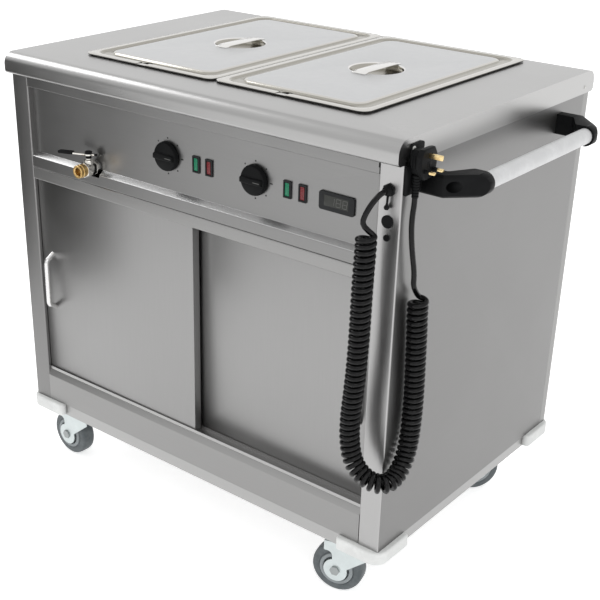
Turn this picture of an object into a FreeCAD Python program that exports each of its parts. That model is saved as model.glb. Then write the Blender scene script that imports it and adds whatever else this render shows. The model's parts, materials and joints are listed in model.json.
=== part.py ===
import FreeCAD, Part
import math
import os
from FreeCAD import Vector

# A hostess trolley: a heated cupboard with two sliding doors under a bain-marie top
# with two lift-out pans, on four swivel castors. Sizes are in millimetres.
# While a piece is drawn, x runs from the body's left side, y from its front face and
# z from the floor. Each piece is moved to the origin when it is saved.

# ---- body
body_width = 900.0
body_depth = 620.0
body_base = 160.0
top_height = 900.0
sheet = 1.5
bend = 2.5
post_width = 43.0
post_return = 14.0
seam_flange = 20.0
seam_set = 22.0
foot_flange = 25.0

# ---- worktop
nose_height = 40.0
nose_reach = 16.0
nose_round = 22.0
nose_foot_round = 8.0
nose_return = 25.0

# ---- front, from the top down
top_rail_height = 22.0
panel_recess = 12.0
panel_foot_drop = 190.0
ledge_foot_drop = 198.0
rail_foot_drop = 220.0
head_rail_height = 24.0
cupboard_floor = 232.0
plinth_lip_height = 13.0
plinth_lip_depth = 5.0
plinth_flange = 30.0
rail_flange = 16.0

# ---- doors
door_set_back = 8.0
door_thickness = 18.0
door_skin = 1.0
door_pitch = 21.0
door_lap = 22.0
door_side_gap = 1.0
door_slack = 0.5
door_rest_gap = 0.3
track_base = 1.5
track_rib = 2.0
lower_rib_height = 5.0
upper_rib_height = 16.0
door_lift = 6.7
door_travel = 350.0
pull_inset = 28.0
pull_rod = 10.0
pull_reach = 22.0
pull_span = 116.0
pull_grip = 84.0
pull_height = 442.0

# ---- cupboard
liner_inset = 52.0
liner_track_gap = 0.5
liner_back = 590.0
shelf_height = 440.0
shelf_gap = 2.5
shelf_lip = 20.0
runner_leg = 22.0
shelf_front_set = 25.0

# ---- pans, lids and the well that they hang in
pan_width = 325.0
pan_length = 530.0
pan_depth = 150.0
pan_gap = 1.0
pan_front = 75.0
pan_wall = 1.0
pan_rim = 11.5
pan_rim_height = 3.0
pan_corner = 18.0
pan_body_corner = 32.0
pan_foot_round = 18.0
rest_gap = 0.3
opening_margin = 10.0
opening_corner = 8.0
lid_rim = 14.0
lid_groove_width = 9.0
lid_groove_depth = 3.0
lid_crown = 1.0
lid_dish_width = 104.0
lid_dish_depth = 11.0
lid_notch_width = 22.0
lid_notch_depth = 12.0
lid_notch_offset = -12.0
strap_width = 28.0
strap_thickness = 1.5
strap_overlap = 7.0
strap_rise = 1.5
well_depth = 204.0
well_flange = 15.0
bar_width = 17.0
bar_depth = 18.0

# ---- heating
element_rod = 8.0
element_turn = 40.0
element_margin = 46.0
cupboard_element_height = 206.0
element_stay_width = 10.0

# ---- control panel
knob_drop = 128.0
knob_sets = (498.5, 296.5)
knob_width = 54.0
knob_skirt = 11.0
knob_grip_width = 13.0
knob_grip_reach = 5.0
knob_grip_set = 2.5
knob_edge_round = 2.0
knob_gap = 0.5
spindle_width = 6.0
running_gap = 0.05
bush_width = 10.0
locknut_width = 18.0
locknut_depth = 3.5
thermostat_width = 44.0
thermostat_depth = 30.0
lamp_drop = 129.5
green_sets = (430.0, 227.5)
red_sets = (400.0, 196.0)
lamp_width = 16.0
lamp_length = 30.0
lamp_frame = 2.5
lamp_flange = 1.5
lamp_proud = 3.0
lamp_tail = 16.0
display_set = 127.0
display_drop = 130.2
display_width = 70.0
display_length = 31.5
display_proud = 3.5
display_corner = 5.0
display_tail = 23.0
screen_width = 44.0
screen_length = 11.5
screen_rise = 4.0
screen_sunk = 0.7
cutout_gap = 0.1

# ---- drain and its tap
drain_place = 213.0
drain_rise = 17.0
drain_pipe_width = 22.0
drain_bore = 16.0
tap_back = 8.0
notch_width = 39.0
notch_drop = 5.0
notch_round = 3.0
tap_body_width = 27.0
tap_body_front = -20.0
tap_front = -36.0
tap_outlet_width = 25.0
tap_spout_step = 2.0
tap_outlet_bore = 15.0
stem_place = -6.0
stem_width = 8.0
stem_housing_width = 15.0
stem_rise = 26.0
lever_length = 60.0
lever_tail = 12.0
lever_width = 10.0
lever_thickness = 3.0
lever_sleeve_length = 32.0
lever_sleeve_wall = 1.2
lever_angle = 22.5
stem_nut_width = 12.0

# ---- push handle on the right side
handle_reach = 75.0
handle_drop = 76.0
handle_tube_width = 28.0
handle_tube_wall = 1.5
bracket_height = 36.0
bracket_start = 48.0
bracket_root = 25.0
bracket_straight = 41.0
bracket_end_wall = 5.0
bracket_length = 66.0
bracket_edge_round = 6.0
bracket_chamfer = 4.0
bracket_socket = 9.0
brackets_middle = 285.0
bolt_well_width = 18.0
bolt_seat = 12.0

# ---- fixing bolts, M8, with their nuts
bolt_width = 8.0
bolt_head_width = 13.0
bolt_head = 5.0
nut_height = 6.5
bolt_tip = 2.0

# ---- chassis, bumpers and castors
chassis_base = 134.0
chassis_inset = 4.0
chassis_return = 30.0
pad_width = 124.0
pad_thickness = 2.0
bumper_reach = 10.0
bumper_leg = 96.0
bumper_corner = 25.0
bumper_end_round = 8.0
bumper_edge_round = 4.0
bumper_gap = 0.3
kingpin_side_set = 78.0
kingpin_end_set = 64.0
castor_trail = 40.0
wheel_width = 32.0
wheel_size = 100.0
tread_round = 9.0
hub_size = 66.0
hub_rim = 38.0
hub_rim_wall = 7.0
hub_web = 10.0
boss_size = 26.0
boss_width = 40.0
axle_width = 12.0
cheek_gap = 0.3
cheek = 2.5
cheek_lobe = 47.0
cheek_neck_set = 7.0
cheek_neck_round = 10.0
cheek_brow = 21.0
cheek_heel = 17.0
cheek_heel_set = 20.0
cheek_heel_rise = 5.0
crown_height = 111.0
crown_thickness = 3.0
crown_front = 28.0
crown_back = 64.0
fork_race_width = 50.0
race_width = 48.0
race_foot = 117.0
kingpin_width = 12.0
castor_plate = 4.0
castor_plate_width = 92.0
castor_bolt_set = 35.0
castor_angles = {"front_left": 178.0, "front_right": 194.0, "rear_left": 200.0, "rear_right": 230.0}
castor_plate_corner = 8.0
axle_head = 4.0
axle_head_width = 17.0

# ---- mains lead, its gland, the blanked holes beside it and the parked plug
gland_set = 23.0
gland_drop = 82.0
gland_nut_width = 19.0
gland_thread_width = 16.0
gland_reach = 12.0
spare_hole_drops = (133.0, 159.5)
spare_hole_widths = (16.0, 7.0)
spare_cap_widths = (21.0, 11.0)
cap_proud = 2.5
cap_tail = 7.0
cable_width = 9.0
coil_width = 35.0
park_thickness = 4.0
park_place = 25.0
park_width = 46.0
park_drop = 10.0
park_length = 78.0
park_shoulder_drop = 42.0
park_shoulder = 12.0
park_corner = 4.0
plug_place = 22.0
plug_width = 44.0
plug_height = 48.0
plug_depth = 26.0
plug_flange = 9.0
plug_back_width = 24.0
plug_back_inset = 4.0
plug_drop = 11.0
plug_corner = 7.0
relief_place = 19.0
relief_length = 32.0
relief_top_width = 13.0
relief_foot_width = 11.0
relief_axis = 11.0
pin_spacing = 22.2
earth_pin = (4.0, 8.0, 22.7)
line_pin = (6.3, 4.0, 17.7)
line_pin_rise = 14.0
pin_root = 10.0

# The lead's route from the gland to the parked plug, chosen by hand: x from the body's right
# side, y from its front and z from its top.
gland_lead = [
    (-23.0, -12.0, -82.0), (-23.0, -21.0, -82.0), (-27.5, -28.5, -90.0), (-33.5, -34.0, -101.5),
    (-39.0, -38.5, -116.0), (-42.5, -41.0, -132.0), (-42.5, -41.0, -148.0),
]
coil_route = [
    (-33.5, -40.0, -148.0), (-33.5, -40.0, -172.0), (-35.2, -40.0, -210.0),
    (-36.0, -40.0, -260.0), (-36.4, -40.0, -315.0), (-38.2, -40.0, -370.0),
    (-41.6, -40.0, -420.0), (-45.2, -40.0, -462.0), (-45.6, -40.0, -500.0),
    (-41.0, -40.0, -532.0), (-32.0, -40.0, -552.0), (-18.0, -39.5, -566.0), (-2.0, -36.0, -575.0),
    (11.5, -27.5, -580.0), (19.0, -14.0, -581.5), (21.0, 3.0, -578.0), (20.5, 20.0, -569.0),
    (20.0, 34.0, -551.0), (19.8, 42.0, -525.0), (19.5, 46.0, -494.0), (19.5, 47.5, -455.0),
    (19.5, 46.0, -410.0), (19.5, 43.5, -362.0), (19.6, 41.0, -320.0), (20.0, 37.0, -287.0),
    (20.0, 37.0, -263.0),
]
plug_lead = [
    (11.5, 28.0, -263.0), (11.5, 28.0, -252.0), (13.2, 29.6, -239.0), (14.0, 29.3, -224.0),
    (14.0, 26.3, -207.0), (13.0, 21.3, -185.0), (12.0, 17.0, -160.0), (11.3, 15.0, -137.0),
    (11.0, 16.0, -117.0), (11.0, 19.0, -103.0), (11.0, 19.0, -91.0),
]

# ---- worked out from the sizes above
nose_under = top_height - nose_height
panel_foot = top_height - panel_foot_drop
ledge_foot = top_height - ledge_foot_drop
rail_foot = top_height - rail_foot_drop
well_floor = top_height - well_depth
knob_height = top_height - knob_drop
knob_places = [body_width - place for place in knob_sets]
lamp_height = top_height - lamp_drop
green_places = [body_width - place for place in green_sets]
red_places = [body_width - place for place in red_sets]
display_place = (body_width - display_set, top_height - display_drop)
screen_height = display_place[1] + screen_rise
drain_height = well_floor + drain_rise
notch_foot = ledge_foot - notch_drop
stem_top = drain_height + stem_rise
handle_height = top_height - handle_drop
gland_place = body_width - gland_set
gland_height = top_height - gland_drop
spare_hole_heights = [top_height - drop for drop in spare_hole_drops]
park_top = top_height - park_drop
park_foot = park_top - park_length
park_shoulder_height = top_height - park_shoulder_drop
plug_foot = top_height - plug_drop - plug_height
line_pin_height = plug_foot + line_pin_rise
seam = body_depth - seam_set
opening_left = post_width
opening_right = body_width - post_width
door_width = (opening_right - opening_left + door_lap) / 2 - door_side_gap
track_floor = cupboard_floor + track_base
door_foot = track_floor + door_rest_gap
head_foot = rail_foot - head_rail_height
upper_track_top = rail_foot - sheet
upper_track_under = upper_track_top - track_base
door_top = upper_track_under - door_lift
track_front = door_set_back - door_slack - track_rib
track_back = track_front + 2 * door_pitch + track_rib
liner_front = track_back + liner_track_gap
pans_left = (body_width - 2 * pan_width - pan_gap) / 2
pans_back = pan_front + pan_length
well_left = pans_left + opening_margin
well_right = body_width - well_left
well_front = pan_front + opening_margin
well_back = pans_back - opening_margin
sheet_under = top_height - sheet
rim_top = top_height + pan_rim_height
lid_seat = rim_top + rest_gap
lid_top = lid_seat + pan_wall + lid_crown
panel_face = panel_recess
panel_back = panel_recess + sheet
handle_axis = body_width + handle_reach
park_front = park_place - park_width / 2
plug_back = body_width + park_thickness
plug_face = plug_back + plug_depth

# ---- the origin: on the floor, under the middle of the trolley without its lead
wheel_turn = math.radians(180 - castor_angles["front_left"])
left_reach = ((castor_trail + wheel_size / 2 - tread_round) * math.cos(wheel_turn) + tread_round
              + (wheel_width / 2 - tread_round) * math.sin(wheel_turn) - kingpin_side_set)
right_reach = handle_reach + bracket_height / 2
front_reach = -tap_front
rear_reach = nose_reach
middle_x = (body_width + right_reach - left_reach) / 2
middle_y = (body_depth + rear_reach - front_reach) / 2

across = Vector(1, 0, 0)
inward = Vector(0, 1, 0)
upward = Vector(0, 0, 1)


def unit(way):
    return way * (1.0 / way.Length)


def block(x0, x1, y0, y1, z0, z1):
    return Part.makeBox(x1 - x0, y1 - y0, z1 - z0, Vector(x0, y0, z0))


def rod(start, way, length, width):
    return Part.makeCylinder(width / 2, length, Vector(*start), way)


def outline(points, radii):
    # a closed wire through the points, each corner rounded by its own radius
    corners = []
    for i, point in enumerate(points):
        back = unit(points[i - 1] - point)
        on = unit(points[(i + 1) % len(points)] - point)
        if radii[i] <= 0:
            corners.append((point, None, point))
            continue
        half = back.getAngle(on) / 2
        reach = radii[i] / math.tan(half)
        middle = unit(back + on)
        centre = point + middle * (radii[i] / math.sin(half))
        corners.append((point + back * reach, centre - middle * radii[i], point + on * reach))
    edges = []
    for i, (start, middle, end) in enumerate(corners):
        if middle is not None:
            edges.append(Part.Arc(start, middle, end).toShape())
        following = corners[(i + 1) % len(corners)][0]
        if (following - end).Length > 0.001:
            edges.append(Part.LineSegment(end, following).toShape())
    return Part.Wire(edges)


def prism(plane, points, radii, at, length):
    # a flat outline in the yz, xz or xy plane, pushed along the third axis
    if not isinstance(radii, (list, tuple)):
        radii = [radii] * len(points)
    if plane == "yz":
        placed, way = [Vector(at, u, v) for u, v in points], across
    elif plane == "xz":
        placed, way = [Vector(u, at, v) for u, v in points], inward
    else:
        placed, way = [Vector(u, v, at) for u, v in points], upward
    return Part.Face(outline(placed, radii)).extrude(way * length)


def rounded(x0, x1, y0, y1, z0, z1, radius):
    return prism("xy", [(x0, y0), (x1, y0), (x1, y1), (x0, y1)], radius, z0, z1 - z0)


def bent(plane, path, at, length, side, bends=None):
    # a folded sheet: the path is its outer face, its thickness lies to the right (1) or
    # the left (-1) of the path
    last = len(path) - 1
    bends = bends or [bend] * len(path)
    near, far, near_radii, far_radii = [], [], [], []
    for i, (u, v) in enumerate(path):
        ways = []
        if i > 0:
            ways.append((u - path[i - 1][0], v - path[i - 1][1]))
        if i < last:
            ways.append((path[i + 1][0] - u, path[i + 1][1] - v))
        ways = [(a / math.hypot(a, b), b / math.hypot(a, b)) for a, b in ways]
        first, second = ways[0], ways[-1]
        normals = [(b * side, -a * side) for a, b in (first, second)]
        share = sheet / (1 + normals[0][0] * normals[1][0] + normals[0][1] * normals[1][1])
        near.append((u, v))
        far.append((u + (normals[0][0] + normals[1][0]) * share,
                    v + (normals[0][1] + normals[1][1]) * share))
        turn = (first[0] * second[1] - first[1] * second[0]) * side
        if abs(turn) < 1e-6:
            near_radii.append(0)
            far_radii.append(0)
        elif turn < 0:
            near_radii.append(bends[i])
            far_radii.append(bends[i] - sheet)
        else:
            near_radii.append(bends[i] - sheet)
            far_radii.append(bends[i])
    return prism(plane, near + far[::-1], near_radii + far_radii[::-1], at, length)


def joined(shapes):
    return shapes[0].fuse(shapes[1:]).removeSplitter()


def mirrored_x(shape):
    return shape.mirror(Vector(body_width / 2, 0, 0), across)


def mirrored_y(shape):
    return shape.mirror(Vector(0, body_depth / 2, 0), inward)


def turned(profile, radii=0):
    # an outline of (radius, height) points, spun about the vertical axis
    if not isinstance(radii, (list, tuple)):
        radii = [radii] * len(profile)
    face = Part.Face(outline([Vector(r, 0, h) for r, h in profile], radii))
    return face.revolve(Vector(0, 0, 0), upward, 360)


def hexagon(start, way, length, width):
    # a six-sided nut or end, as wide across its flats as the width given
    corner = width / math.sqrt(3)
    centre = Vector(*start)
    aside = unit(way.cross(upward if abs(way.z) < 0.5 else across))
    over = way.cross(aside)
    points = []
    for i in range(6):
        angle = math.radians(60 * i)
        points.append(centre + aside * (corner * math.cos(angle)) + over * (corner * math.sin(angle)))
    return Part.Face(Part.makePolygon(points + points[:1])).extrude(way * length)


def rounded_edges(shape, radius, chosen):
    edges = [e for e in shape.Edges if chosen(e.CenterOfMass)]
    return shape.makeFillet(radius, edges)


# ---- casing

def worktop():
    front = -nose_reach
    back = body_depth + nose_reach
    path = [(front + nose_return, nose_under), (front, nose_under), (front, top_height),
            (back, top_height), (back, nose_under), (back - nose_return, nose_under)]
    rounds = [0, nose_foot_round, nose_round, nose_round, nose_foot_round, 0]
    skin = bent("yz", path, 0, body_width, 1, rounds)
    end = prism("yz", path[1:5], rounds[1:5], 0, sheet)
    opening = rounded(well_left, well_right, well_front, well_back,
                      sheet_under - sheet, top_height + sheet, opening_corner)
    return joined([skin, end, mirrored_x(end)]).cut(opening)


def side_panel():
    # the right-hand side: post, side and rear seam are one folded sheet
    inner = body_width - post_width
    path = [(inner, post_return), (inner, 0), (body_width, 0), (body_width, seam),
            (body_width - seam_flange, seam)]
    wall = bent("xy", path, body_base, nose_under - body_base, -1)
    foot = block(body_width - foot_flange, body_width - sheet, sheet, seam - sheet,
                 body_base, body_base + sheet)
    return joined([wall, foot])


def side_panel_right():
    holes = [rod((gland_place, -sheet, gland_height), inward, 3 * sheet,
                 gland_thread_width + 2 * running_gap)]
    for height, width in zip(spare_hole_heights, spare_hole_widths):
        holes.append(rod((gland_place, -sheet, height), inward, 3 * sheet, width + 2 * running_gap))
    for start in bracket_bolts():
        holes.append(bolt_hole(start, -across, bolt_seat + sheet))
    return side_panel().cut(Part.makeCompound(holes))


def side_panel_left():
    return mirrored_x(side_panel())


def rear_panel():
    path = [(seam_flange, seam), (0, seam), (0, body_depth), (body_width, body_depth),
            (body_width, seam), (body_width - seam_flange, seam)]
    wall = bent("xy", path, body_base, nose_under - body_base, 1)
    foot = block(sheet, body_width - sheet, body_depth - seam_set + sheet, body_depth - sheet,
                 body_base, body_base + sheet)
    return joined([wall, foot])


def plinth():
    lip_foot = cupboard_floor - plinth_lip_height
    path = [(rail_flange, cupboard_floor), (plinth_lip_depth, cupboard_floor), (0, lip_foot),
            (0, body_base), (plinth_flange, body_base)]
    return bent("yz", path, opening_left, opening_right - opening_left, -1)


def head_rail():
    path = [(track_front, head_foot), (0, head_foot), (0, rail_foot), (track_back, rail_foot)]
    return bent("yz", path, opening_left, opening_right - opening_left, 1)


def control_panel():
    rail_under = nose_under - top_rail_height
    path = [(post_return, nose_under), (0, nose_under), (0, rail_under), (panel_recess, rail_under),
            (panel_recess, panel_foot), (0, ledge_foot), (0, rail_foot), (rail_flange, rail_foot)]
    front = bent("yz", path, opening_left, opening_right - opening_left, -1)
    cuts = []
    for x in knob_places:
        cuts.append(rod((x, 0, knob_height), inward, post_return + sheet,
                        bush_width + 2 * cutout_gap))
    for x in green_places + red_places:
        cuts.append(lamp_block(x, lamp_flange - cutout_gap, 0, panel_back + sheet))
    cuts.append(display_block(lamp_flange - cutout_gap, 0, panel_back + sheet))
    half = notch_width / 2
    cuts.append(rod((drain_place, 0, drain_height), inward, post_return + sheet,
                    drain_pipe_width + 2 * cutout_gap))
    cuts.append(prism("xz", [(drain_place - half, notch_foot), (drain_place + half, notch_foot),
                             (drain_place + half, panel_foot), (drain_place - half, panel_foot)],
                      notch_round, -sheet, panel_back + 2 * sheet))
    return front.cut(Part.makeCompound(cuts))


def track(base, ribs_from, ribs_to):
    pieces = [block(opening_left, opening_right, track_front, track_back, *base)]
    for i in range(3):
        front = track_front + i * door_pitch
        pieces.append(block(opening_left, opening_right, front, front + track_rib,
                            ribs_from, ribs_to))
    return joined(pieces)


def lower_track():
    return track((cupboard_floor, track_floor), cupboard_floor, track_floor + lower_rib_height)


def upper_track():
    return track((upper_track_under, upper_track_top), upper_track_under - upper_rib_height,
                 upper_track_top)


# ---- cupboard

def cupboard_liner():
    left, right = liner_inset, body_width - liner_inset
    shell = block(left, right, liner_front, liner_back, cupboard_floor - sheet, rail_foot)
    room = block(left + sheet, right - sheet, liner_front - sheet, liner_back - sheet,
                 cupboard_floor, rail_foot - sheet)
    floor = block(sheet, body_width - sheet, rail_flange, seam - bend,
                  cupboard_floor - sheet, cupboard_floor)
    lip = block(left, right, track_back, liner_front + sheet, rail_foot - sheet, rail_foot)
    jamb = block(sheet, left + sheet, liner_front, liner_front + sheet, cupboard_floor, rail_foot)
    return joined([shell.cut(room), floor, lip, jamb, mirrored_x(jamb)])


def shelf():
    left = liner_inset + sheet + shelf_gap
    right = body_width - left
    front = liner_front + shelf_front_set
    back = liner_back - sheet - shelf_gap
    deck = block(left, right, front, back, shelf_height, shelf_height + sheet)
    lips = []
    for edge in (front, back - sheet):
        lips.append(block(left + runner_leg, right - runner_leg, edge, edge + sheet,
                          shelf_height - shelf_lip, shelf_height + sheet))
    return joined([deck] + lips)


def shelf_runners():
    wall = liner_inset + sheet
    front = liner_front + shelf_front_set
    back = liner_back - sheet
    angle = [(wall, shelf_height - runner_leg), (wall, shelf_height), (wall + runner_leg - sheet,
                                                                      shelf_height)]
    runner = bent("xz", angle, front, back - front, 1)
    return Part.makeCompound([runner, mirrored_x(runner)])


# ---- well and pans

def bain_marie_tank():
    outer = rounded(well_left - sheet, well_right + sheet, well_front - sheet, well_back + sheet,
                    well_floor, sheet_under, opening_corner + sheet)
    inner = rounded(well_left, well_right, well_front, well_back,
                    well_floor + sheet, sheet_under, opening_corner)
    flange = rounded(well_left - well_flange, well_right + well_flange, well_front - well_flange,
                     well_back + well_flange, sheet_under - sheet, sheet_under, opening_corner)
    drain = rod((drain_place, well_front - 2 * sheet, drain_height), inward, 4 * sheet, drain_bore)
    return joined([outer, flange]).cut(inner).cut(drain)


def divider_bar():
    middle = body_width / 2
    left, right = middle - bar_width / 2, middle + bar_width / 2
    path = [(left, top_height - bar_depth), (left, top_height), (right, top_height),
            (right, top_height - bar_depth)]
    return bent("xz", path, well_front, well_back - well_front, 1)


def serpentine(left, right, front, back, height):
    # a heating rod laid in four passes
    step = (back - front) / 3
    corners = []
    for i in range(4):
        ends = [(left, front + i * step), (right, front + i * step)]
        corners += ends if i % 2 == 0 else ends[::-1]
    corners = [Vector(x, y, height) for x, y in corners]
    edges, start = [], corners[0]
    for i in range(1, len(corners) - 1):
        back_way = unit(corners[i - 1] - corners[i])
        on_way = unit(corners[i + 1] - corners[i])
        enter = corners[i] + back_way * element_turn
        leave = corners[i] + on_way * element_turn
        bulge = corners[i] + (back_way + on_way) * (element_turn * (1 - math.sqrt(0.5)))
        edges.append(Part.LineSegment(start, enter).toShape())
        edges.append(Part.Arc(enter, bulge, leave).toShape())
        start = leave
    edges.append(Part.LineSegment(start, corners[-1]).toShape())
    return swept(Part.Wire(edges), element_rod)


def swept(wire, width):
    start = wire.Edges[0].valueAt(wire.Edges[0].FirstParameter)
    way = wire.Edges[0].tangentAt(wire.Edges[0].FirstParameter)
    ring = Part.Wire(Part.makeCircle(width / 2, start, way))
    return wire.makePipeShell([ring], True, True)


def tank_element():
    return serpentine(well_left + element_margin, well_right - element_margin,
                      well_front + element_margin, well_back - element_margin,
                      well_floor - element_rod / 2)


def cupboard_element():
    left, right = liner_inset + 2 * element_margin, body_width - liner_inset - 2 * element_margin
    front, back = liner_front + element_margin, liner_back - element_margin
    heater = serpentine(left, right, front, back, cupboard_element_height)
    stays = []
    for x in (left + element_turn + element_margin, right - element_turn - element_margin):
        stays.append(block(x, x + element_stay_width, front - element_rod, back + element_rod,
                           body_base, cupboard_element_height))
    return joined([heater] + stays)


def pan_place(index):
    left = pans_left + index * (pan_width + pan_gap)
    return left, left + pan_width


def pan(index):
    left, right = pan_place(index)
    floor = rim_top - pan_depth
    turn_down = top_height + rest_gap
    rim = rounded(left, right, pan_front, pans_back, turn_down, rim_top, pan_corner)
    under = rounded(left + pan_wall, right - pan_wall, pan_front + pan_wall, pans_back - pan_wall,
                    turn_down, rim_top - pan_wall, pan_corner - pan_wall)
    tub = rounded(left + pan_rim, right - pan_rim, pan_front + pan_rim, pans_back - pan_rim,
                  floor, rim_top, pan_body_corner)
    tub = rounded_edges(tub, pan_foot_round, lambda c: c.z < floor + 0.01)
    inset = pan_rim + pan_wall
    room = rounded(left + inset, right - inset, pan_front + inset, pans_back - inset,
                   floor + pan_wall, rim_top, pan_body_corner - pan_wall)
    room = rounded_edges(room, pan_foot_round - pan_wall, lambda c: c.z < floor + pan_wall + 0.01)
    return joined([rim.cut(under), tub]).cut(room)


def lid(index):
    left, right = pan_place(index)

    def level(inset, low, high, corner):
        return rounded(left + inset, right - inset, pan_front + inset, pans_back - inset,
                       low, high, corner)

    groove_floor = lid_seat - lid_groove_depth
    inner = lid_rim + lid_groove_width
    rim = level(0, lid_seat, lid_seat + pan_wall, pan_corner)
    drop = level(lid_rim - pan_wall, groove_floor, lid_seat + pan_wall, pan_body_corner)
    trough = level(lid_rim, groove_floor + pan_wall, lid_top, pan_body_corner - pan_wall)
    rise = level(inner - pan_wall, groove_floor, lid_top, pan_body_corner - lid_groove_width)
    hollow = level(inner, groove_floor - pan_wall, lid_top - pan_wall,
                   pan_body_corner - lid_groove_width - pan_wall)
    shell = joined([joined([rim, drop]).cut(trough), rise]).cut(hollow)
    centre = ((left + right) / 2, (pan_front + pans_back) / 2)
    dish = rod((*centre, lid_top - lid_dish_depth), upward, lid_dish_depth, lid_dish_width)
    dish_room = rod((*centre, lid_top - lid_dish_depth + pan_wall), upward, lid_dish_depth,
                    lid_dish_width - 2 * pan_wall)
    notch_middle = centre[0] + lid_notch_offset
    notch = rounded(notch_middle - lid_notch_width / 2, notch_middle + lid_notch_width / 2,
                    pan_front - lid_notch_depth, pan_front + lid_notch_depth,
                    groove_floor - pan_wall, lid_top + pan_wall, lid_notch_width / 4)
    return joined([shell, dish]).cut(dish_room).cut(notch)


def lid_handle(index):
    # a strap that bridges the dish from front to back, with a flat foot at each end
    left, right = pan_place(index)
    middle = (left + right) / 2
    half = lid_dish_width / 2
    centre = (pan_front + pans_back) / 2
    top = lid_top + strap_rise + strap_thickness
    path = [(centre - half - strap_overlap, lid_top + strap_thickness),
            (centre - half, lid_top + strap_thickness), (centre - half + strap_overlap, top),
            (centre + half - strap_overlap, top), (centre + half, lid_top + strap_thickness),
            (centre + half + strap_overlap, lid_top + strap_thickness)]
    under = [(y, z - strap_thickness) for y, z in path]
    return prism("yz", path + under[::-1], 0, middle - strap_width / 2, strap_width)


# ---- doors

def door(index):
    left = opening_left + door_side_gap
    if index == 1:
        left = opening_right - door_side_gap - door_width
    front = door_set_back + index * door_pitch
    right, back = left + door_width, front + door_thickness
    shell = block(left, right, front, back, door_foot, door_top)
    return shell.cut(block(left + door_skin, right - door_skin, front + door_skin,
                           back - door_skin, door_foot + door_skin, door_top - door_skin))


def door_pull(index):
    x = opening_left + door_side_gap + pull_inset
    if index == 1:
        x = body_width - x
    face = door_set_back + index * door_pitch
    grip = face - pull_reach + pull_rod / 2
    radius = pull_rod
    ends = [(face, pull_span / 2), (grip, pull_grip / 2 + pull_rod / 2),
            (grip, -pull_grip / 2 - pull_rod / 2), (face, -pull_span / 2)]
    points = [Vector(x, y, pull_height + z) for y, z in ends]
    bow = swept(arc_path(points, [radius] * 2)[0], pull_rod)
    # the slanted legs are cut flush with the door's face
    keep = block(x - pull_rod, x + pull_rod, grip - pull_rod, face,
                 pull_height - pull_span, pull_height + pull_span)
    legs = []
    for sign in (1, -1):
        foot = Vector(x, face, pull_height + sign * pull_span / 2)
        knee = Vector(x, grip, pull_height + sign * (pull_grip + pull_rod) / 2)
        way = unit(foot - knee)
        legs.append(Part.makeCylinder(pull_rod / 2, pull_rod, foot - way * pull_rod / 4, way))
    return joined([bow] + legs).common(keep)


# ---- controls

def knob(x):
    back = panel_face - knob_gap
    front = back - knob_skirt
    skirt = rod((x, back, knob_height), -inward, knob_skirt, knob_width)
    skirt = rounded_edges(skirt, knob_edge_round, lambda c: c.y < front + 0.01)
    half = knob_width / 2 - knob_grip_set
    rise = knob_grip_width / 2
    grip_front = front - knob_grip_reach
    grip = prism("xz", [(x - half, knob_height - rise), (x + half, knob_height - rise),
                        (x + half, knob_height + rise), (x - half, knob_height + rise)],
                 rise - 0.5, grip_front, knob_grip_reach + knob_edge_round)
    grip = rounded_edges(grip, knob_edge_round, lambda c: c.y < grip_front + 0.01)
    spindle_front = back - knob_skirt / 2
    spindle = rod((x, spindle_front, knob_height), inward,
                  panel_back + locknut_depth + thermostat_depth * 0.8 - spindle_front,
                  spindle_width)
    return Part.makeCompound([joined([skirt, grip]).cut(spindle), spindle])


def thermostats():
    pieces = []
    for x in knob_places:
        seat = panel_back + locknut_depth
        half = thermostat_width / 2
        case = block(x - half, x + half, seat, seat + thermostat_depth,
                     knob_height - half, knob_height + half)
        locknut = hexagon((x, panel_back, knob_height), inward, locknut_depth, locknut_width)
        bush = rod((x, panel_face, knob_height), inward, sheet + locknut_depth, bush_width)
        bore = rod((x, panel_face - sheet, knob_height), inward,
                   seat + thermostat_depth * 0.9 - panel_face, spindle_width + 2 * running_gap)
        pieces.append(joined([case, locknut, bush]).cut(bore))
    return Part.makeCompound(pieces)


def lamp_block(x, inset, front, back):
    return block(x - lamp_width / 2 + inset, x + lamp_width / 2 - inset, front, back,
                 lamp_height - lamp_length / 2 + inset, lamp_height + lamp_length / 2 - inset)


def lamp_bezels():
    pieces = []
    front = panel_face - lamp_proud
    for x in green_places + red_places:
        flange = lamp_block(x, 0, front, panel_face)
        tail = lamp_block(x, lamp_flange, panel_face, panel_face + lamp_tail)
        bezel = joined([flange, tail])
        pieces.append(bezel.cut(lamp_block(x, lamp_frame, front, panel_face + lamp_tail - sheet)))
    return Part.makeCompound(pieces)


def lenses(places):
    front = panel_face - lamp_proud - lamp_flange / 3
    return Part.makeCompound([lamp_block(x, lamp_frame, front, panel_face) for x in places])


def display_block(inset, front, back):
    x, z = display_place
    return block(x - display_width / 2 + inset, x + display_width / 2 - inset, front, back,
                 z - display_length / 2 + inset, z + display_length / 2 - inset)


def screen_block(front, back):
    x = display_place[0]
    return block(x - screen_width / 2, x + screen_width / 2, front, back,
                 screen_height - screen_length / 2, screen_height + screen_length / 2)


def thermometer_bezel():
    front = panel_face - display_proud
    x, z = display_place
    half_x, half_z = display_width / 2, display_length / 2
    face = prism("xz", [(x - half_x, z - half_z), (x + half_x, z - half_z),
                        (x + half_x, z + half_z), (x - half_x, z + half_z)],
                 display_corner, front, display_proud)
    tail = display_block(lamp_flange, panel_face, panel_face + display_tail)
    return joined([face, tail]).cut(screen_block(front, panel_face))


def thermometer_screen():
    return screen_block(panel_face - display_proud + screen_sunk, panel_face)


# ---- drain

def drain_pipe():
    length = well_front - sheet - tap_back
    start = (drain_place, tap_back, drain_height)
    return rod(start, inward, length, drain_pipe_width).cut(rod(start, inward, length, drain_bore))


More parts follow.
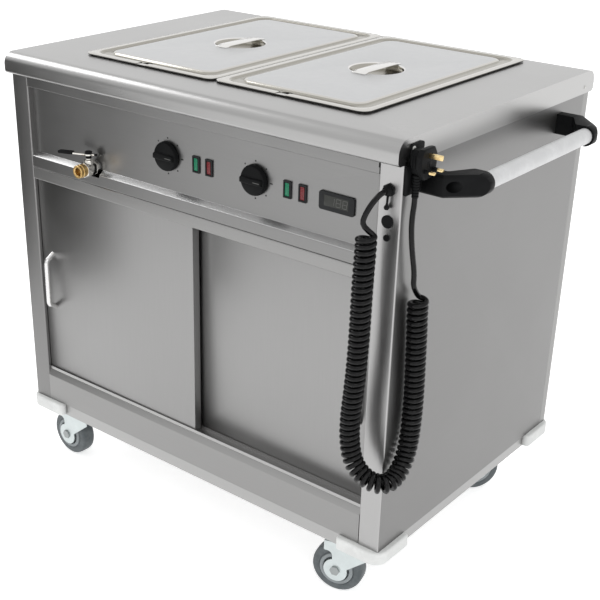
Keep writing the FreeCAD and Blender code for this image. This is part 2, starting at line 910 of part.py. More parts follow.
def tap_body():
    start = (drain_place, tap_back, drain_height)
    length = tap_back - tap_body_front
    barrel = rod(start, -inward, length, tap_body_width)
    collar = hexagon(start, -inward, length / 4, tap_body_width)
    housing = rod((drain_place, stem_place, drain_height), upward, stem_top - drain_height,
                  stem_housing_width)
    bore = rod(start, -inward, length, drain_bore)
    stem = rod((drain_place, stem_place, drain_height), upward, stem_top - drain_height,
               stem_width + 2 * running_gap)
    return joined([barrel, collar, housing]).cut(bore).cut(stem)


def tap_outlet():
    start = (drain_place, tap_body_front, drain_height)
    length = tap_body_front - tap_front
    end = hexagon(start, -inward, length * 0.6, tap_outlet_width)
    spout = rod(start, -inward, length, tap_outlet_width - tap_spout_step)
    return joined([end, spout]).cut(rod(start, -inward, length, tap_outlet_bore))


def tap_lever():
    # drawn along -x from the stem, then turned to where it rests
    foot = stem_top + rest_gap
    top = foot + lever_thickness
    stem_foot = drain_height + drain_bore / 2 + rest_gap
    stem = rod((0, 0, stem_foot), upward, top - stem_foot, stem_width)
    half = lever_width / 2
    bar = prism("xy", [(-lever_length, -half), (lever_tail, -half), (lever_tail, half),
                       (-lever_length, half)], half - 0.5, foot, lever_thickness)
    nut = hexagon((0, 0, top), upward, lever_thickness * 1.5, stem_nut_width)
    arm = joined([stem, bar, nut])
    wall = lever_sleeve_wall
    inner = lever_sleeve_length - lever_length
    sleeve = prism("xy", [(-lever_length - wall, -half - wall), (inner, -half - wall),
                          (inner, half + wall), (-lever_length - wall, half + wall)],
                   [half, 0, 0, half], foot - wall, lever_thickness + 2 * wall)
    lever = Part.makeCompound([arm, sleeve.cut(arm)])
    lever.rotate(Vector(0, 0, 0), upward, lever_angle)
    lever.translate(Vector(drain_place, stem_place, 0))
    return lever


# ---- push handle

def rear_twin(shape):
    return shape.mirror(Vector(0, brackets_middle, 0), inward)


def bracket_bolts():
    # each bracket's bolt seats in the bracket and goes through the side panel
    y = bracket_start + bracket_root / 2
    x = body_width + bolt_seat
    return [(x, y, handle_height), (x, 2 * brackets_middle - y, handle_height)]


def handle_brackets():
    low = handle_height - bracket_height / 2
    high = handle_height + bracket_height / 2
    end = bracket_start + bracket_length
    outer = handle_axis + bracket_height / 2
    inner = handle_axis - handle_tube_width / 2 - bracket_end_wall
    turn = body_width + bracket_straight
    slope_end = end - bracket_socket - bracket_end_wall
    back_turn = turn - bracket_root / 3
    plan = [(body_width, bracket_start), (turn, bracket_start), (outer, slope_end), (outer, end),
            (inner, end), (back_turn, bracket_start + bracket_root),
            (body_width, bracket_start + bracket_root)]
    rounds = [0, bracket_edge_round, bracket_edge_round, 0, bracket_edge_round, bracket_edge_round, 0]
    arm = prism("xy", plan, rounds, low, bracket_height)
    rim = [e for e in arm.Edges if e.BoundBox.ZLength < 0.01
           and e.CenterOfMass.y < slope_end and e.CenterOfMass.x > body_width + 0.01
           and e.CenterOfMass.y - bracket_start < (e.CenterOfMass.x - turn) * 1.05 + bracket_edge_round]
    arm = arm.makeChamfer(bracket_chamfer, rim)
    end_round = bracket_height / 2 - 0.1
    arm = arm.common(prism("xz", [(body_width, low), (outer, low), (outer, high),
                                  (body_width, high)],
                           [0, end_round, end_round, 0], bracket_start, bracket_length))
    socket = rod((handle_axis, end - bracket_socket, handle_height), inward, bracket_socket,
                 handle_tube_width + 2 * running_gap)
    seat = bracket_bolts()[0]
    well = rod(seat, across, bracket_height * 3, bolt_well_width)
    front = arm.cut(socket).cut(well).cut(bolt_hole(seat, -across, bolt_seat))
    return Part.makeCompound([front, rear_twin(front)])


def handle_tube():
    start = bracket_start + bracket_length - bracket_socket
    length = 2 * (brackets_middle - start)
    outer = rod((handle_axis, start, handle_height), inward, length, handle_tube_width)
    return outer.cut(rod((handle_axis, start, handle_height), inward, length,
                         handle_tube_width - 2 * handle_tube_wall))


def bolt_hole(seat, way, length):
    return rod(seat, way, length, bolt_width + 2 * running_gap)


def bolt(seat, way, grip):
    # a bolt whose head sits on the seat, and the nut on the far side of what it clamps
    head_start = Vector(*seat) - way * bolt_head
    length = grip + nut_height + bolt_tip
    screw = joined([rod(seat, way, length, bolt_width),
                    hexagon(tuple(head_start), way, bolt_head, bolt_head_width)])
    nut = hexagon(tuple(Vector(*seat) + way * grip), way, nut_height, bolt_head_width)
    return [screw, nut.cut(bolt_hole(seat, way, length))]


def castor_bolts():
    # the bolts' seats, on the underside of the four castor plates
    places = []
    for x, y in kingpins():
        for side in (-1, 1):
            for end in (-1, 1):
                places.append((x + side * castor_bolt_set, y + end * castor_bolt_set,
                               chassis_base - castor_plate))
    return places


def fixing_bolts():
    pieces = []
    for seat in bracket_bolts():
        pieces += bolt(seat, -across, bolt_seat + sheet)
    for seat in castor_bolts():
        pieces += bolt(seat, upward, castor_plate + pad_thickness)
    return Part.makeCompound(pieces)


# ---- chassis and castors

def kingpins():
    places = []
    for place in castor_angles:
        x = body_width - kingpin_side_set if "right" in place else kingpin_side_set
        y = body_depth - kingpin_end_set if "rear" in place else kingpin_end_set
        places.append((x, y))
    return places


def chassis():
    left, right = chassis_inset, body_width - chassis_inset
    front, back = chassis_inset, body_depth - chassis_inset
    tray = block(left, right, front, back, chassis_base, body_base)
    room = block(left + sheet, right - sheet, front + sheet, back - sheet,
                 chassis_base + sheet, body_base - sheet)
    mouth = block(left + chassis_return, right - chassis_return, front + chassis_return,
                  back - chassis_return, chassis_base, chassis_base + sheet)
    pads = []
    for x, y in kingpins():
        near_x = left if x < body_width / 2 else right - pad_width
        near_y = front if y < body_depth / 2 else back - pad_width
        pads.append(block(near_x, near_x + pad_width, near_y, near_y + pad_width,
                          chassis_base, chassis_base + pad_thickness))
    holes = [bolt_hole(seat, upward, castor_plate + 2 * pad_thickness) for seat in castor_bolts()]
    return joined([tray.cut(room).cut(mouth)] + pads).cut(Part.makeCompound(holes))


def corner_bumpers():
    outer_x, outer_y = body_width + bumper_reach, -bumper_reach
    inner_x, inner_y = body_width - chassis_inset, chassis_inset
    low, high = chassis_base, body_base - bumper_gap
    corner = prism("xy", [(outer_x - bumper_leg, outer_y), (outer_x, outer_y),
                          (outer_x, outer_y + bumper_leg), (inner_x, outer_y + bumper_leg),
                          (inner_x, inner_y), (outer_x - bumper_leg, inner_y)],
                   [bumper_end_round, bumper_corner, bumper_end_round, 0, 0, 0], low, high - low)
    corner = rounded_edges(corner, bumper_edge_round,
                           lambda c: (c.z < low + 0.01 or c.z > high - 0.01)
                           and (c.x > body_width or c.y < 0))
    pair = [corner, mirrored_x(corner)]
    return Part.makeCompound(pair + [mirrored_y(piece) for piece in pair])


def castor_plates():
    pieces = []
    half = castor_plate_width / 2
    for x, y in kingpins():
        plate = rounded(x - half, x + half, y - half, y + half,
                        chassis_base - castor_plate, chassis_base, castor_plate_corner)
        race = rod((x, y, race_foot), upward, chassis_base - race_foot, race_width)
        bore = rod((x, y, race_foot), upward, chassis_base - race_foot,
                   kingpin_width + 2 * running_gap)
        holes = [bore] + [bolt_hole(seat, upward, castor_plate) for seat in castor_bolts()]
        pieces.append(joined([plate, race]).cut(Part.makeCompound(holes)))
    return Part.makeCompound(pieces)


def swung(shape, place):
    # a castor's piece, drawn trailing along +x from a kingpin on the z axis, put in place
    shape.rotate(Vector(0, 0, 0), upward, castor_angles[place])
    x, y = kingpins()[list(castor_angles).index(place)]
    shape.translate(Vector(x, y, 0))
    return shape


def castor_fork(place):
    # each cheek has a brow over the wheel, a neck and a round lobe at the axle
    centre = (castor_trail, wheel_size / 2)
    neck = centre[0] + cheek_neck_set
    web = [(-crown_front, crown_height), (-crown_front, crown_height - cheek_heel),
           (centre[0] - cheek_heel_set, centre[1] + cheek_heel_rise), (neck, centre[1]),
           (neck, crown_height - cheek_brow), (crown_back, crown_height - cheek_brow),
           (crown_back, crown_height)]
    inner = boss_width / 2 + cheek_gap
    pieces = []
    for start in (inner, -inner - cheek):
        pieces.append(prism("xz", web, [0, cheek, 0, 0, cheek_neck_round, cheek, 0], start, cheek))
        pieces.append(rod((centre[0], start, centre[1]), inward, cheek, cheek_lobe))
    pieces.append(block(-crown_front, crown_back, -inner, inner,
                        crown_height - crown_thickness, crown_height))
    pieces.append(rod((0, 0, crown_height), upward, race_foot - rest_gap - crown_height,
                      fork_race_width))
    pieces.append(rod((0, 0, crown_height), upward, chassis_base - rest_gap - crown_height,
                      kingpin_width))
    fork = joined(pieces)
    axle_half = inner + cheek
    axle = rod((centre[0], -axle_half, centre[1]), inward, 2 * axle_half, axle_width)
    fork = fork.cut(axle)
    heads = [hexagon((centre[0], y, centre[1]), inward, axle_head, axle_head_width)
             for y in (axle_half, -axle_half - axle_head)]
    return swung(Part.makeCompound([fork, joined([axle] + heads)]), place)


def castor_wheel(place):
    half = wheel_width / 2
    rim = hub_size / 2
    tyre = turned([(rim, -half + 1), (wheel_size / 2, -half), (wheel_size / 2, half),
                   (rim, half - 1)], [0, tread_round, tread_round, 0])
    bore = axle_width / 2 + running_gap
    hub = turned([(bore, -boss_width / 2), (boss_size / 2, -boss_width / 2),
                  (boss_size / 2, -hub_web / 2), (rim - hub_rim_wall, -hub_web / 2),
                  (rim - hub_rim_wall, -hub_rim / 2), (rim, -hub_rim / 2),
                  (rim, hub_rim / 2), (rim - hub_rim_wall, hub_rim / 2),
                  (rim - hub_rim_wall, hub_web / 2), (boss_size / 2, hub_web / 2),
                  (boss_size / 2, boss_width / 2), (bore, boss_width / 2)])
    wheel = Part.makeCompound([hub, tyre])
    wheel.rotate(Vector(0, 0, 0), across, -90)
    wheel.translate(Vector(castor_trail, 0, wheel_size / 2))
    return swung(wheel, place)


# ---- mains lead

def cable_gland():
    front = (gland_place, 0, gland_height)
    nut = hexagon(front, -inward, gland_reach * 0.3, gland_nut_width)
    dome = rod(front, -inward, gland_reach * 0.7, gland_nut_width * 0.85)
    nose = Part.makeCone(gland_nut_width * 0.42, cable_width * 0.7, gland_reach * 0.3,
                         Vector(gland_place, -gland_reach * 0.7, gland_height), -inward)
    thread = rod(front, inward, post_return * 0.8, gland_thread_width)
    return joined([nut, dome, nose, thread])


def hole_plugs():
    pieces = []
    for height, cap, hole in zip(spare_hole_heights, spare_cap_widths, spare_hole_widths):
        head = rod((gland_place, 0, height), -inward, cap_proud, cap)
        head = rounded_edges(head, cap_proud * 0.6, lambda c: c.y < -cap_proud + 0.01)
        pieces.append(joined([head, rod((gland_place, 0, height), inward, cap_tail, hole)]))
    return Part.makeCompound(pieces)


def plug_park():
    # a plate screwed to the side, narrower above its shoulder, that holds the plug's back
    y0, y1 = park_front, park_front + park_width
    inner = y0 + park_shoulder
    return prism("yz", [(y0, park_foot), (y1, park_foot), (y1, park_top), (inner, park_top),
                        (inner, park_shoulder_height), (y0, park_shoulder_height)],
                 [park_corner, park_corner, park_corner, park_corner, 0, park_corner],
                 body_width, park_thickness)


def plug_body():
    # a flange round the pins and a narrower back
    top = plug_foot + plug_height

    def slab(width, inset, start, length):
        y0, y1 = plug_place - width / 2, plug_place + width / 2
        return prism("yz", [(y0, plug_foot + inset), (y1, plug_foot + inset), (y1, top - inset),
                            (y0, top - inset)], plug_corner, start, length)

    shell = joined([slab(plug_width, 0, plug_face - plug_flange, plug_flange),
                    slab(plug_back_width, plug_back_inset, plug_back, plug_depth - plug_flange)])
    relief = Part.makeCone(relief_foot_width / 2, relief_top_width / 2,
                           relief_length + plug_back_inset,
                           Vector(body_width + relief_axis, relief_place, plug_foot - relief_length))
    return joined([shell, relief]).cut(plug_pins())


def plug_pins():
    pieces = []
    width, height, length = earth_pin
    earth_height = line_pin_height + pin_spacing
    pieces.append(block(plug_face - pin_root, plug_face + length, plug_place - width / 2,
                        plug_place + width / 2, earth_height - height / 2,
                        earth_height + height / 2))
    width, height, length = line_pin
    for side in (-1, 1):
        y = plug_place + side * pin_spacing / 2
        pieces.append(block(plug_face - pin_root, plug_face + length, y - width / 2, y + width / 2,
                            line_pin_height - height / 2, line_pin_height + height / 2))
    return Part.makeCompound(pieces)


def arc_path(points, radii=None):
    # straight runs joined by tangent arcs, each as large as its two runs allow
    edges, used, start = [], [], points[0]
    for i in range(1, len(points) - 1):
        back = points[i - 1] - points[i]
        on = points[i + 1] - points[i]
        half = unit(back).getAngle(unit(on)) / 2
        reach = 0.45 * min(back.Length, on.Length)
        if radii:
            reach = radii[i - 1] / math.tan(half)
        radius = reach * math.tan(half)
        back, on = unit(back), unit(on)
        middle = unit(back + on)
        centre = points[i] + middle * (radius / math.sin(half))
        enter, leave = points[i] + back * reach, points[i] + on * reach
        edges.append(Part.LineSegment(start, enter).toShape())
        edges.append(Part.Arc(enter, centre - middle * radius, leave).toShape())
        used.append(radius)
        start = leave
    edges.append(Part.LineSegment(start, points[-1]).toShape())
    return Part.Wire(edges), used


def cord(points, width):
    wire, radii = arc_path([Vector(body_width + x, y, top_height + z) for x, y, z in points])
    tube = swept(wire, width)
    share = tube.Volume / (math.pi * width * width / 4 * wire.Length)
    print("cord", round(wire.Length, 1), "mm long, volume share", round(share, 4),
          "radii", [round(r, 1) for r in radii])
    return tube


def pieces():
    made = {
        "worktop": worktop(),
        "side_panel_left": side_panel_left(),
        "side_panel_right": side_panel_right(),
        "rear_panel": rear_panel(),
        "chassis": chassis(),
        "corner_bumpers": corner_bumpers(),
        "plinth": plinth(),
        "head_rail": head_rail(),
        "control_panel": control_panel(),
        "door_track_lower": lower_track(),
        "door_track_upper": upper_track(),
        "cupboard_liner": cupboard_liner(),
        "cupboard_shelf": shelf(),
        "shelf_runners": shelf_runners(),
        "cupboard_element": cupboard_element(),
        "bain_marie_tank": bain_marie_tank(),
        "pan_divider_bar": divider_bar(),
        "tank_element": tank_element(),
        "drain_pipe": drain_pipe(),
        "tap_body": tap_body(),
        "tap_outlet": tap_outlet(),
        "tap_lever": tap_lever(),
        "thermostats": thermostats(),
        "lamp_bezels": lamp_bezels(),
        "green_lenses": lenses(green_places),
        "red_lenses": lenses(red_places),
        "thermometer_bezel": thermometer_bezel(),
        "thermometer_screen": thermometer_screen(),
        "handle_brackets": handle_brackets(),
        "handle_tube": handle_tube(),
        "fixing_bolts": fixing_bolts(),
        "castor_plates": castor_plates(),
        "cable_gland": cable_gland(),
        "hole_plugs": hole_plugs(),
        "plug_park": plug_park(),
        "plug_body": plug_body(),
        "plug_pins": plug_pins(),
        "gland_lead": cord(gland_lead, cable_width),
        "coiled_lead": cord(coil_route, coil_width),
        "plug_lead": cord(plug_lead, cable_width),
    }
    for index, side in enumerate(("left", "right")):
        made["pan_" + side] = pan(index)
        made["lid_" + side] = lid(index)
        made["lid_handle_" + side] = lid_handle(index)
        made["door_" + side] = door(index)
        made["door_pull_" + side] = door_pull(index)
        made["knob_" + side] = knob(knob_places[index])
    for place in castor_angles:
        made["castor_fork_" + place] = castor_fork(place)
        made["castor_wheel_" + place] = castor_wheel(place)
    return made


os.makedirs("parts", exist_ok=True)
for name, shape in pieces().items():
    shape.translate(Vector(-middle_x, -middle_y, 0))
    shape.exportStep("parts/" + name + ".step")
    print(name, len(shape.Solids), round(shape.Volume / 1000, 1), shape.isValid())
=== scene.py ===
import bpy
import bmesh
import json
import math
from mathutils import Matrix, Vector


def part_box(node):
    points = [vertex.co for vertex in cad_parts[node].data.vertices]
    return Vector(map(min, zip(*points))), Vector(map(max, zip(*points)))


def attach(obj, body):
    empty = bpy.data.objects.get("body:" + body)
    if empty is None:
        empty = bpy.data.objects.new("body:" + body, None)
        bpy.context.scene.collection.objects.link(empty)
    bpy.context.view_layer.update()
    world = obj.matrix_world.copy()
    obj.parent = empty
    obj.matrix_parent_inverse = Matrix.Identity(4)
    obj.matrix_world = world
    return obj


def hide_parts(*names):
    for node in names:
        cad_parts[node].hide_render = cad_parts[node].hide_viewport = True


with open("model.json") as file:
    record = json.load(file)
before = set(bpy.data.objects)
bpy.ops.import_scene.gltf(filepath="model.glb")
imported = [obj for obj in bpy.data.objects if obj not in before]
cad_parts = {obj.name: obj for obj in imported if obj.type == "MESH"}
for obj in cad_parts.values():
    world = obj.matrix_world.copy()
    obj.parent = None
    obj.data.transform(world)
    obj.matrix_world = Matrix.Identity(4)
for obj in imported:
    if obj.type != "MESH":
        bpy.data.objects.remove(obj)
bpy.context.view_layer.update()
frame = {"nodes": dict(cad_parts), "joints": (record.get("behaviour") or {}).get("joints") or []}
nodes = frame["nodes"]
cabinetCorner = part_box("side_panel_left")[0]
sides = ("left", "right")
print("frame loaded:", len(nodes), "nodes")


def mm(value):
    return value * 0.001


def at(x, y, z):
    # a point given in the cabinet's own millimetres, from its front left corner on the floor
    return Vector((cabinetCorner.x + x * 0.001, cabinetCorner.y + y * 0.001, z * 0.001))


def linkMesh(name, bm):
    # a bmesh becomes an object of the scene
    mesh = bpy.data.meshes.new(name)
    bm.to_mesh(mesh)
    bm.free()
    made = bpy.data.objects.new(name, mesh)
    bpy.context.scene.collection.objects.link(made)
    return made


def finishPiece(name, bm, body, finish, replaced=(), sharp=32):
    # a piece that rides on its body, with its finish, and smooth up to the sharp angle
    piece = linkMesh(name, bm)
    for face in piece.data.polygons:
        face.use_smooth = True
    piece.data.set_sharp_from_angle(angle=math.radians(sharp))
    piece.data.materials.append(finishes[finish])
    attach(piece, body)
    if replaced:
        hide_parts(*replaced)
    return piece


def secondFinish(piece, finish, chosen):
    # gives the chosen faces of a piece another finish
    piece.data.materials.append(finishes[finish])
    for face in piece.data.polygons:
        if chosen(face):
            face.material_index = len(piece.data.materials) - 1


def bevelEdges(bm, edges, width, segments=2):
    bmesh.ops.bevel(bm, geom=edges, offset=mm(width), offset_type="OFFSET", segments=segments,
                    profile=0.5, affect="EDGES", clamp_overlap=True, material=-1)


def softenEdges(bm, width, segments=2, angle=40):
    # bevels every edge that is sharper than the angle
    limit = math.radians(angle)
    sharp = [e for e in bm.edges if e.is_manifold and e.calc_face_angle(0) > limit]
    bevelEdges(bm, sharp, width, segments)


def facesOut(bm):
    bmesh.ops.remove_doubles(bm, verts=bm.verts, dist=1e-6)
    bmesh.ops.recalc_face_normals(bm, faces=bm.faces)


def edgesOf(verts):
    return list({e for v in verts for e in v.link_edges})


def circleVerts(bm, radius, segments):
    # a ring of vertices, turned by half a step so that none lies on an axis
    made = bmesh.ops.create_circle(bm, segments=segments, radius=mm(radius))["verts"]
    turn = Matrix.Rotation(math.pi / segments, 3, "Z")
    bmesh.ops.rotate(bm, verts=made, cent=(0, 0, 0), matrix=turn)
    return made


def roundedLoop(bm, left, right, front, back, height, radius, steps=9):
    # a closed loop of edges round a rectangle with round corners, in cabinet millimetres
    made = circleVerts(bm, radius, 4 * steps)
    reachX, reachY = mm(right - left) / 2 - mm(radius), mm(back - front) / 2 - mm(radius)
    for signX in (-1, 1):
        for signY in (-1, 1):
            quarter = [v for v in made if v.co.x * signX > 0 and v.co.y * signY > 0]
            bmesh.ops.translate(bm, verts=quarter, vec=(reachX * signX, reachY * signY, 0))
    centre = at((left + right) / 2, (front + back) / 2, height)
    bmesh.ops.translate(bm, verts=made, vec=centre)
    return edgesOf(made)


def bridgeAll(bm, loops, bands):
    # bands gives the material number of each band between two loops
    for near, far, band in zip(loops, loops[1:], bands):
        for face in bmesh.ops.bridge_loops(bm, edges=near + far)["faces"]:
            face.material_index = band


def spunBody(profile, steps, closed=False):
    # radius and height points, in millimetres, spun about the z axis into a closed body
    bm = bmesh.new()
    verts = [bm.verts.new((mm(r), 0, mm(h))) for r, h in profile]
    edges = [bm.edges.new(pair) for pair in zip(verts, verts[1:])]
    if closed:
        edges.append(bm.edges.new((verts[-1], verts[0])))
    bmesh.ops.spin(bm, geom=verts + edges, cent=(0, 0, 0), axis=(0, 0, 1),
                   angle=2 * math.pi, steps=steps, use_merge=True)
    facesOut(bm)
    return bm


def extrudeOutline(bm, way):
    # pushes a flat outline along a way, as a closed body
    bmesh.ops.recalc_face_normals(bm, faces=bm.faces)
    made = bmesh.ops.extrude_face_region(bm, geom=list(bm.faces))["geom"]
    moved = [v for v in made if isinstance(v, bmesh.types.BMVert)]
    bmesh.ops.translate(bm, vec=way, verts=moved)
    facesOut(bm)


def hexPrism(width, height, bevel):
    # a six-sided nut, as wide across its flats as the width given
    bm = bmesh.new()
    bmesh.ops.create_circle(bm, cap_ends=True, segments=6, radius=mm(width) / math.sqrt(3))
    extrudeOutline(bm, (0, 0, mm(height)))
    softenEdges(bm, bevel)
    return bm


def placedCube(bm, size, middle, bevel=0.0, segments=2):
    # a block of a size about its middle, both in metres, its edges softened by millimetres
    made = bmesh.ops.create_cube(bm, size=1.0)["verts"]
    bmesh.ops.scale(bm, vec=size, verts=made)
    bmesh.ops.translate(bm, vec=middle, verts=made)
    if bevel:
        bevelEdges(bm, edgesOf(made), bevel, segments)
    return made


def addBlock(bm, low, high, bevel=0.0):
    # a block between two cabinet points
    a, b = at(*low), at(*high)
    placedCube(bm, [abs(v) for v in b - a], (a + b) / 2, bevel)


def stoodAt(bm, place, way, turn=0.0):
    # turns a body made about the z axis so that z points along way, and moves it to place
    spin = Matrix.Rotation(math.radians(turn), 4, "Z")
    aim = Vector(way).to_track_quat("Z", "Y").to_matrix().to_4x4()
    bmesh.ops.transform(bm, matrix=Matrix.Translation(place) @ aim @ spin, verts=bm.verts)
    return bm


def joinInto(bm, other):
    # adds one bmesh to another
    passing = bpy.data.meshes.new("passing")
    other.to_mesh(passing)
    other.free()
    bm.from_mesh(passing)
    bpy.data.meshes.remove(passing)


def addSpun(bm, profile, steps, place, way, closed=False):
    joinInto(bm, stoodAt(spunBody(profile, steps, closed), place, way))


class Value:
    # wraps a socket, so that finishes read as plain sums
    def __init__(self, look, socket):
        self.look = look
        self.socket = socket

    def maths(self, operation, first, second):
        return self.look.node("Math", {"operation": operation}, {0: first, 1: second})

    def __add__(self, other):
        return self.maths("ADD", self, other)

    def __mul__(self, other):
        return self.maths("MULTIPLY", self, other)

    def __sub__(self, other):
        return self.maths("SUBTRACT", self, other)

    def __rsub__(self, other):
        return self.maths("SUBTRACT", other, self)

    __radd__ = __add__
    __rmul__ = __mul__


class Look:
    # one node tree of a material or world, and the calls that fill it
    def __init__(self, owner):
        owner.use_nodes = True
        self.tree = owner.node_tree
        self.owner = owner

    def node(self, kind, settings=None, values=None, output=0):
        made = self.tree.nodes.new("ShaderNode" + kind)
        for key, setting in (settings or {}).items():
            setattr(made, key, setting)
        for key, value in (values or {}).items():
            self.feed(made.inputs[key], value)
        return Value(self, made.outputs[output])

    def feed(self, socket, value):
        if isinstance(value, Value):
            self.tree.links.new(value.socket, socket)
        elif hasattr(value, "__len__") and len(value) == 3 and socket.type == "RGBA":
            socket.default_value = (*value, 1)
        else:
            socket.default_value = value

    def surface(self, **values):
        # sockets of the main shader: numbers stay on the socket, values are linked
        shader = self.tree.nodes["Principled BSDF"]
        for key, value in values.items():
            self.feed(shader.inputs[key.replace("_", " ")], value)
        return self.owner

    def place(self):
        return self.node("TexCoord", output="Object")

    def noise(self, where, scale, detail=3.0, roughness=0.55, stretch=(1, 1, 1)):
        if stretch != (1, 1, 1):
            where = self.node("Mapping", None, {"Vector": where, "Scale": stretch})
        return self.node("TexNoise", None, {"Vector": where, "Scale": scale, "Detail": detail,
                                            "Roughness": roughness})

    def spread(self, value, low, high):
        # stretches the middle of a noise to the full range from 0 to 1
        return self.node("MapRange", {"clamp": True},
                         {"Value": value, "From Min": low, "From Max": high})

    def blend(self, share, first, second):
        # a colour that goes from the first to the second as the share goes from 0 to 1
        made = self.tree.nodes.new("ShaderNodeMix")
        made.data_type = "RGBA"
        self.feed(made.inputs["Factor"], share)
        self.feed(made.inputs[6], first)
        self.feed(made.inputs[7], second)
        return Value(self, made.outputs[2])

    def shownRays(self):
        # 1 for the rays by which the camera, gloss and glass see a background, 0 for its light
        path = self.tree.nodes.new("ShaderNodeLightPath")
        camera, glossy, clear = (Value(self, path.outputs[key]) for key in (
            "Is Camera Ray", "Is Glossy Ray", "Is Transmission Ray"))
        shown = camera.maths("MAXIMUM", camera, glossy)
        return shown.maths("MAXIMUM", shown, clear)

    def bump(self, height, distance, strength):
        return self.node("Bump", None, {"Height": height, "Distance": distance,
                                        "Strength": strength})


def newLook(name):
    return Look(bpy.data.materials.new(name))


# the camera stands where the photograph was taken from
cameraSettings = {
    "place": (1793.27, -1414.04, 1373.24),   # cabinet millimetres
    "yaw": -39.079,
    "pitch": 25.82,
    "roll": 0.927,
    "lens": 69.508,
    "shift": (0.05375, 0.06693),
}


def makeCamera(settings):
    yaw, pitch, roll = (math.radians(settings[key]) for key in ("yaw", "pitch", "roll"))
    ahead = Vector((math.sin(yaw) * math.cos(pitch), math.cos(yaw) * math.cos(pitch),
                    -math.sin(pitch)))
    aside = Vector((math.cos(yaw), -math.sin(yaw), 0))
    above = aside.cross(ahead)
    right = aside * math.cos(roll) + above * math.sin(roll)
    up = above * math.cos(roll) - aside * math.sin(roll)
    data = bpy.data.cameras.new("photoCamera")
    data.sensor_width = 36
    data.lens = settings["lens"]
    data.shift_x, data.shift_y = settings["shift"]
    camera = bpy.data.objects.new("photoCamera", data)
    bpy.context.scene.collection.objects.link(camera)
    turn = Matrix((right, up, -ahead)).transposed().to_4x4()
    camera.matrix_world = Matrix.Translation(at(*settings["place"])) @ turn
    bpy.context.scene.camera = camera


makeCamera(cameraSettings)
bpy.context.scene.view_settings.view_transform = "Standard"
print("camera placed")


studioSettings = {
    "worldLevel": 0.8,          # the white world's own light on the object
    "floorTone": (0.9, 0.9, 0.9),
    "floorLift": 0.28,          # the floor's own glow, as light on the object
    "floorShown": 0.62,         # and as the camera and the steel see it
    "floorSize": 60.0,
    # a dark card out of the camera's sight, which the steel's front mirrors at its upper left
    "flag": {"place": (-1.4, -0.92, 0.55), "size": (1.45, 1.1), "tone": (0.03, 0.03, 0.028)},
    "lampsAim": (0, 0, 0.5),
    "lamps": (
        # name, place in metres, size, watts
        ("keyLamp", (-1.85, -0.45, 2.2), 1.0, 8.0),
        ("fillLamp", (2.8, -2.8, 2.8), 2.6, 15.0),
    ),
}


def makeFloor(settings):
    bm = bmesh.new()
    bmesh.ops.create_grid(bm, x_segments=2, y_segments=2, size=settings["floorSize"] / 2)
    floor = linkMesh("studioFloor", bm)
    look = newLook("paleFloor")
    glow = look.blend(look.shownRays(), (settings["floorLift"],) * 3, (settings["floorShown"],) * 3)
    floor.data.materials.append(look.surface(
        Base_Color=settings["floorTone"], Roughness=0.9, Specular_IOR_Level=0.1,
        Emission_Color=glow, Emission_Strength=1.0))


def makeFlag(card):
    bm = bmesh.new()
    bmesh.ops.create_grid(bm, x_segments=1, y_segments=1, size=0.5)
    bmesh.ops.scale(bm, vec=(*card["size"], 1), verts=bm.verts)
    flag = linkMesh("studioFlag", stoodAt(bm, Vector(card["place"]), (1, 0, 0), 90))
    flag.data.materials.append(newLook("flagCloth").surface(Base_Color=card["tone"], Roughness=1.0))
    flag.visible_camera = False
    flag.visible_shadow = False
    flag.visible_diffuse = False


def makeWorld(level):
    world = bpy.data.worlds.new("studioWorld")
    bpy.context.scene.world = world
    look = Look(world)
    background = look.tree.nodes["Background"]
    background.inputs["Color"].default_value = (1, 1, 1, 1)
    look.feed(background.inputs["Strength"], look.shownRays() * (1 - level) + level)


def makeLamp(name, place, size, power, aim):
    data = bpy.data.lights.new(name, "AREA")
    data.shape = "DISK"
    data.size = size
    data.energy = power
    lamp = bpy.data.objects.new(name, data)
    bpy.context.scene.collection.objects.link(lamp)
    lamp.location = place
    lamp.rotation_mode = "QUATERNION"
    lamp.rotation_quaternion = (Vector(aim) - lamp.location).to_track_quat("-Z", "Y")


makeWorld(studioSettings["worldLevel"])
makeFloor(studioSettings)
makeFlag(studioSettings["flag"])
for lampSettings in studioSettings["lamps"]:
    makeLamp(*lampSettings, studioSettings["lampsAim"])
print("studio ready")


def shaded(tone, share):
    return tuple(min(1, c * share) for c in tone)


def brushedSteel(name, tone, grain, gloss=0.34, spread=0.06, wave=0.00006):
    # grain is the direction along which the brushing runs
    look = newLook(name)
    where = look.place()
    stretch = [700.0, 700.0, 700.0]
    stretch["xyz".index(grain)] = 14.0
    strokes = look.spread(look.noise(where, 1.0, 3, 0.7, tuple(stretch)), 0.2, 0.8)
    clouds = look.spread(look.noise(where, 4.5, 3, 0.6), 0.3, 0.7)
    colour = look.blend(strokes * 0.7 + clouds * 0.3, shaded(tone, 0.96), shaded(tone, 1.04))
    rough = strokes * (spread * 0.5) + clouds * spread + gloss - spread
    return look.surface(Base_Color=colour, Metallic=1.0, Roughness=rough,
                        Normal=look.bump(strokes, wave, 0.15))


def polishedSteel(name, tone, gloss):
    look = newLook(name)
    where = look.place()
    rubbed = look.spread(look.noise(where, 60, 5, 0.7), 0.35, 0.65)
    clouds = look.spread(look.noise(where, 9, 2, 0.5), 0.3, 0.7)
    return look.surface(Base_Color=look.blend(clouds, shaded(tone, 0.96), tone), Metallic=1.0,
                        Roughness=rubbed * 0.05 + clouds * 0.06 + gloss,
                        Normal=look.bump(rubbed, 0.00002, 0.1))


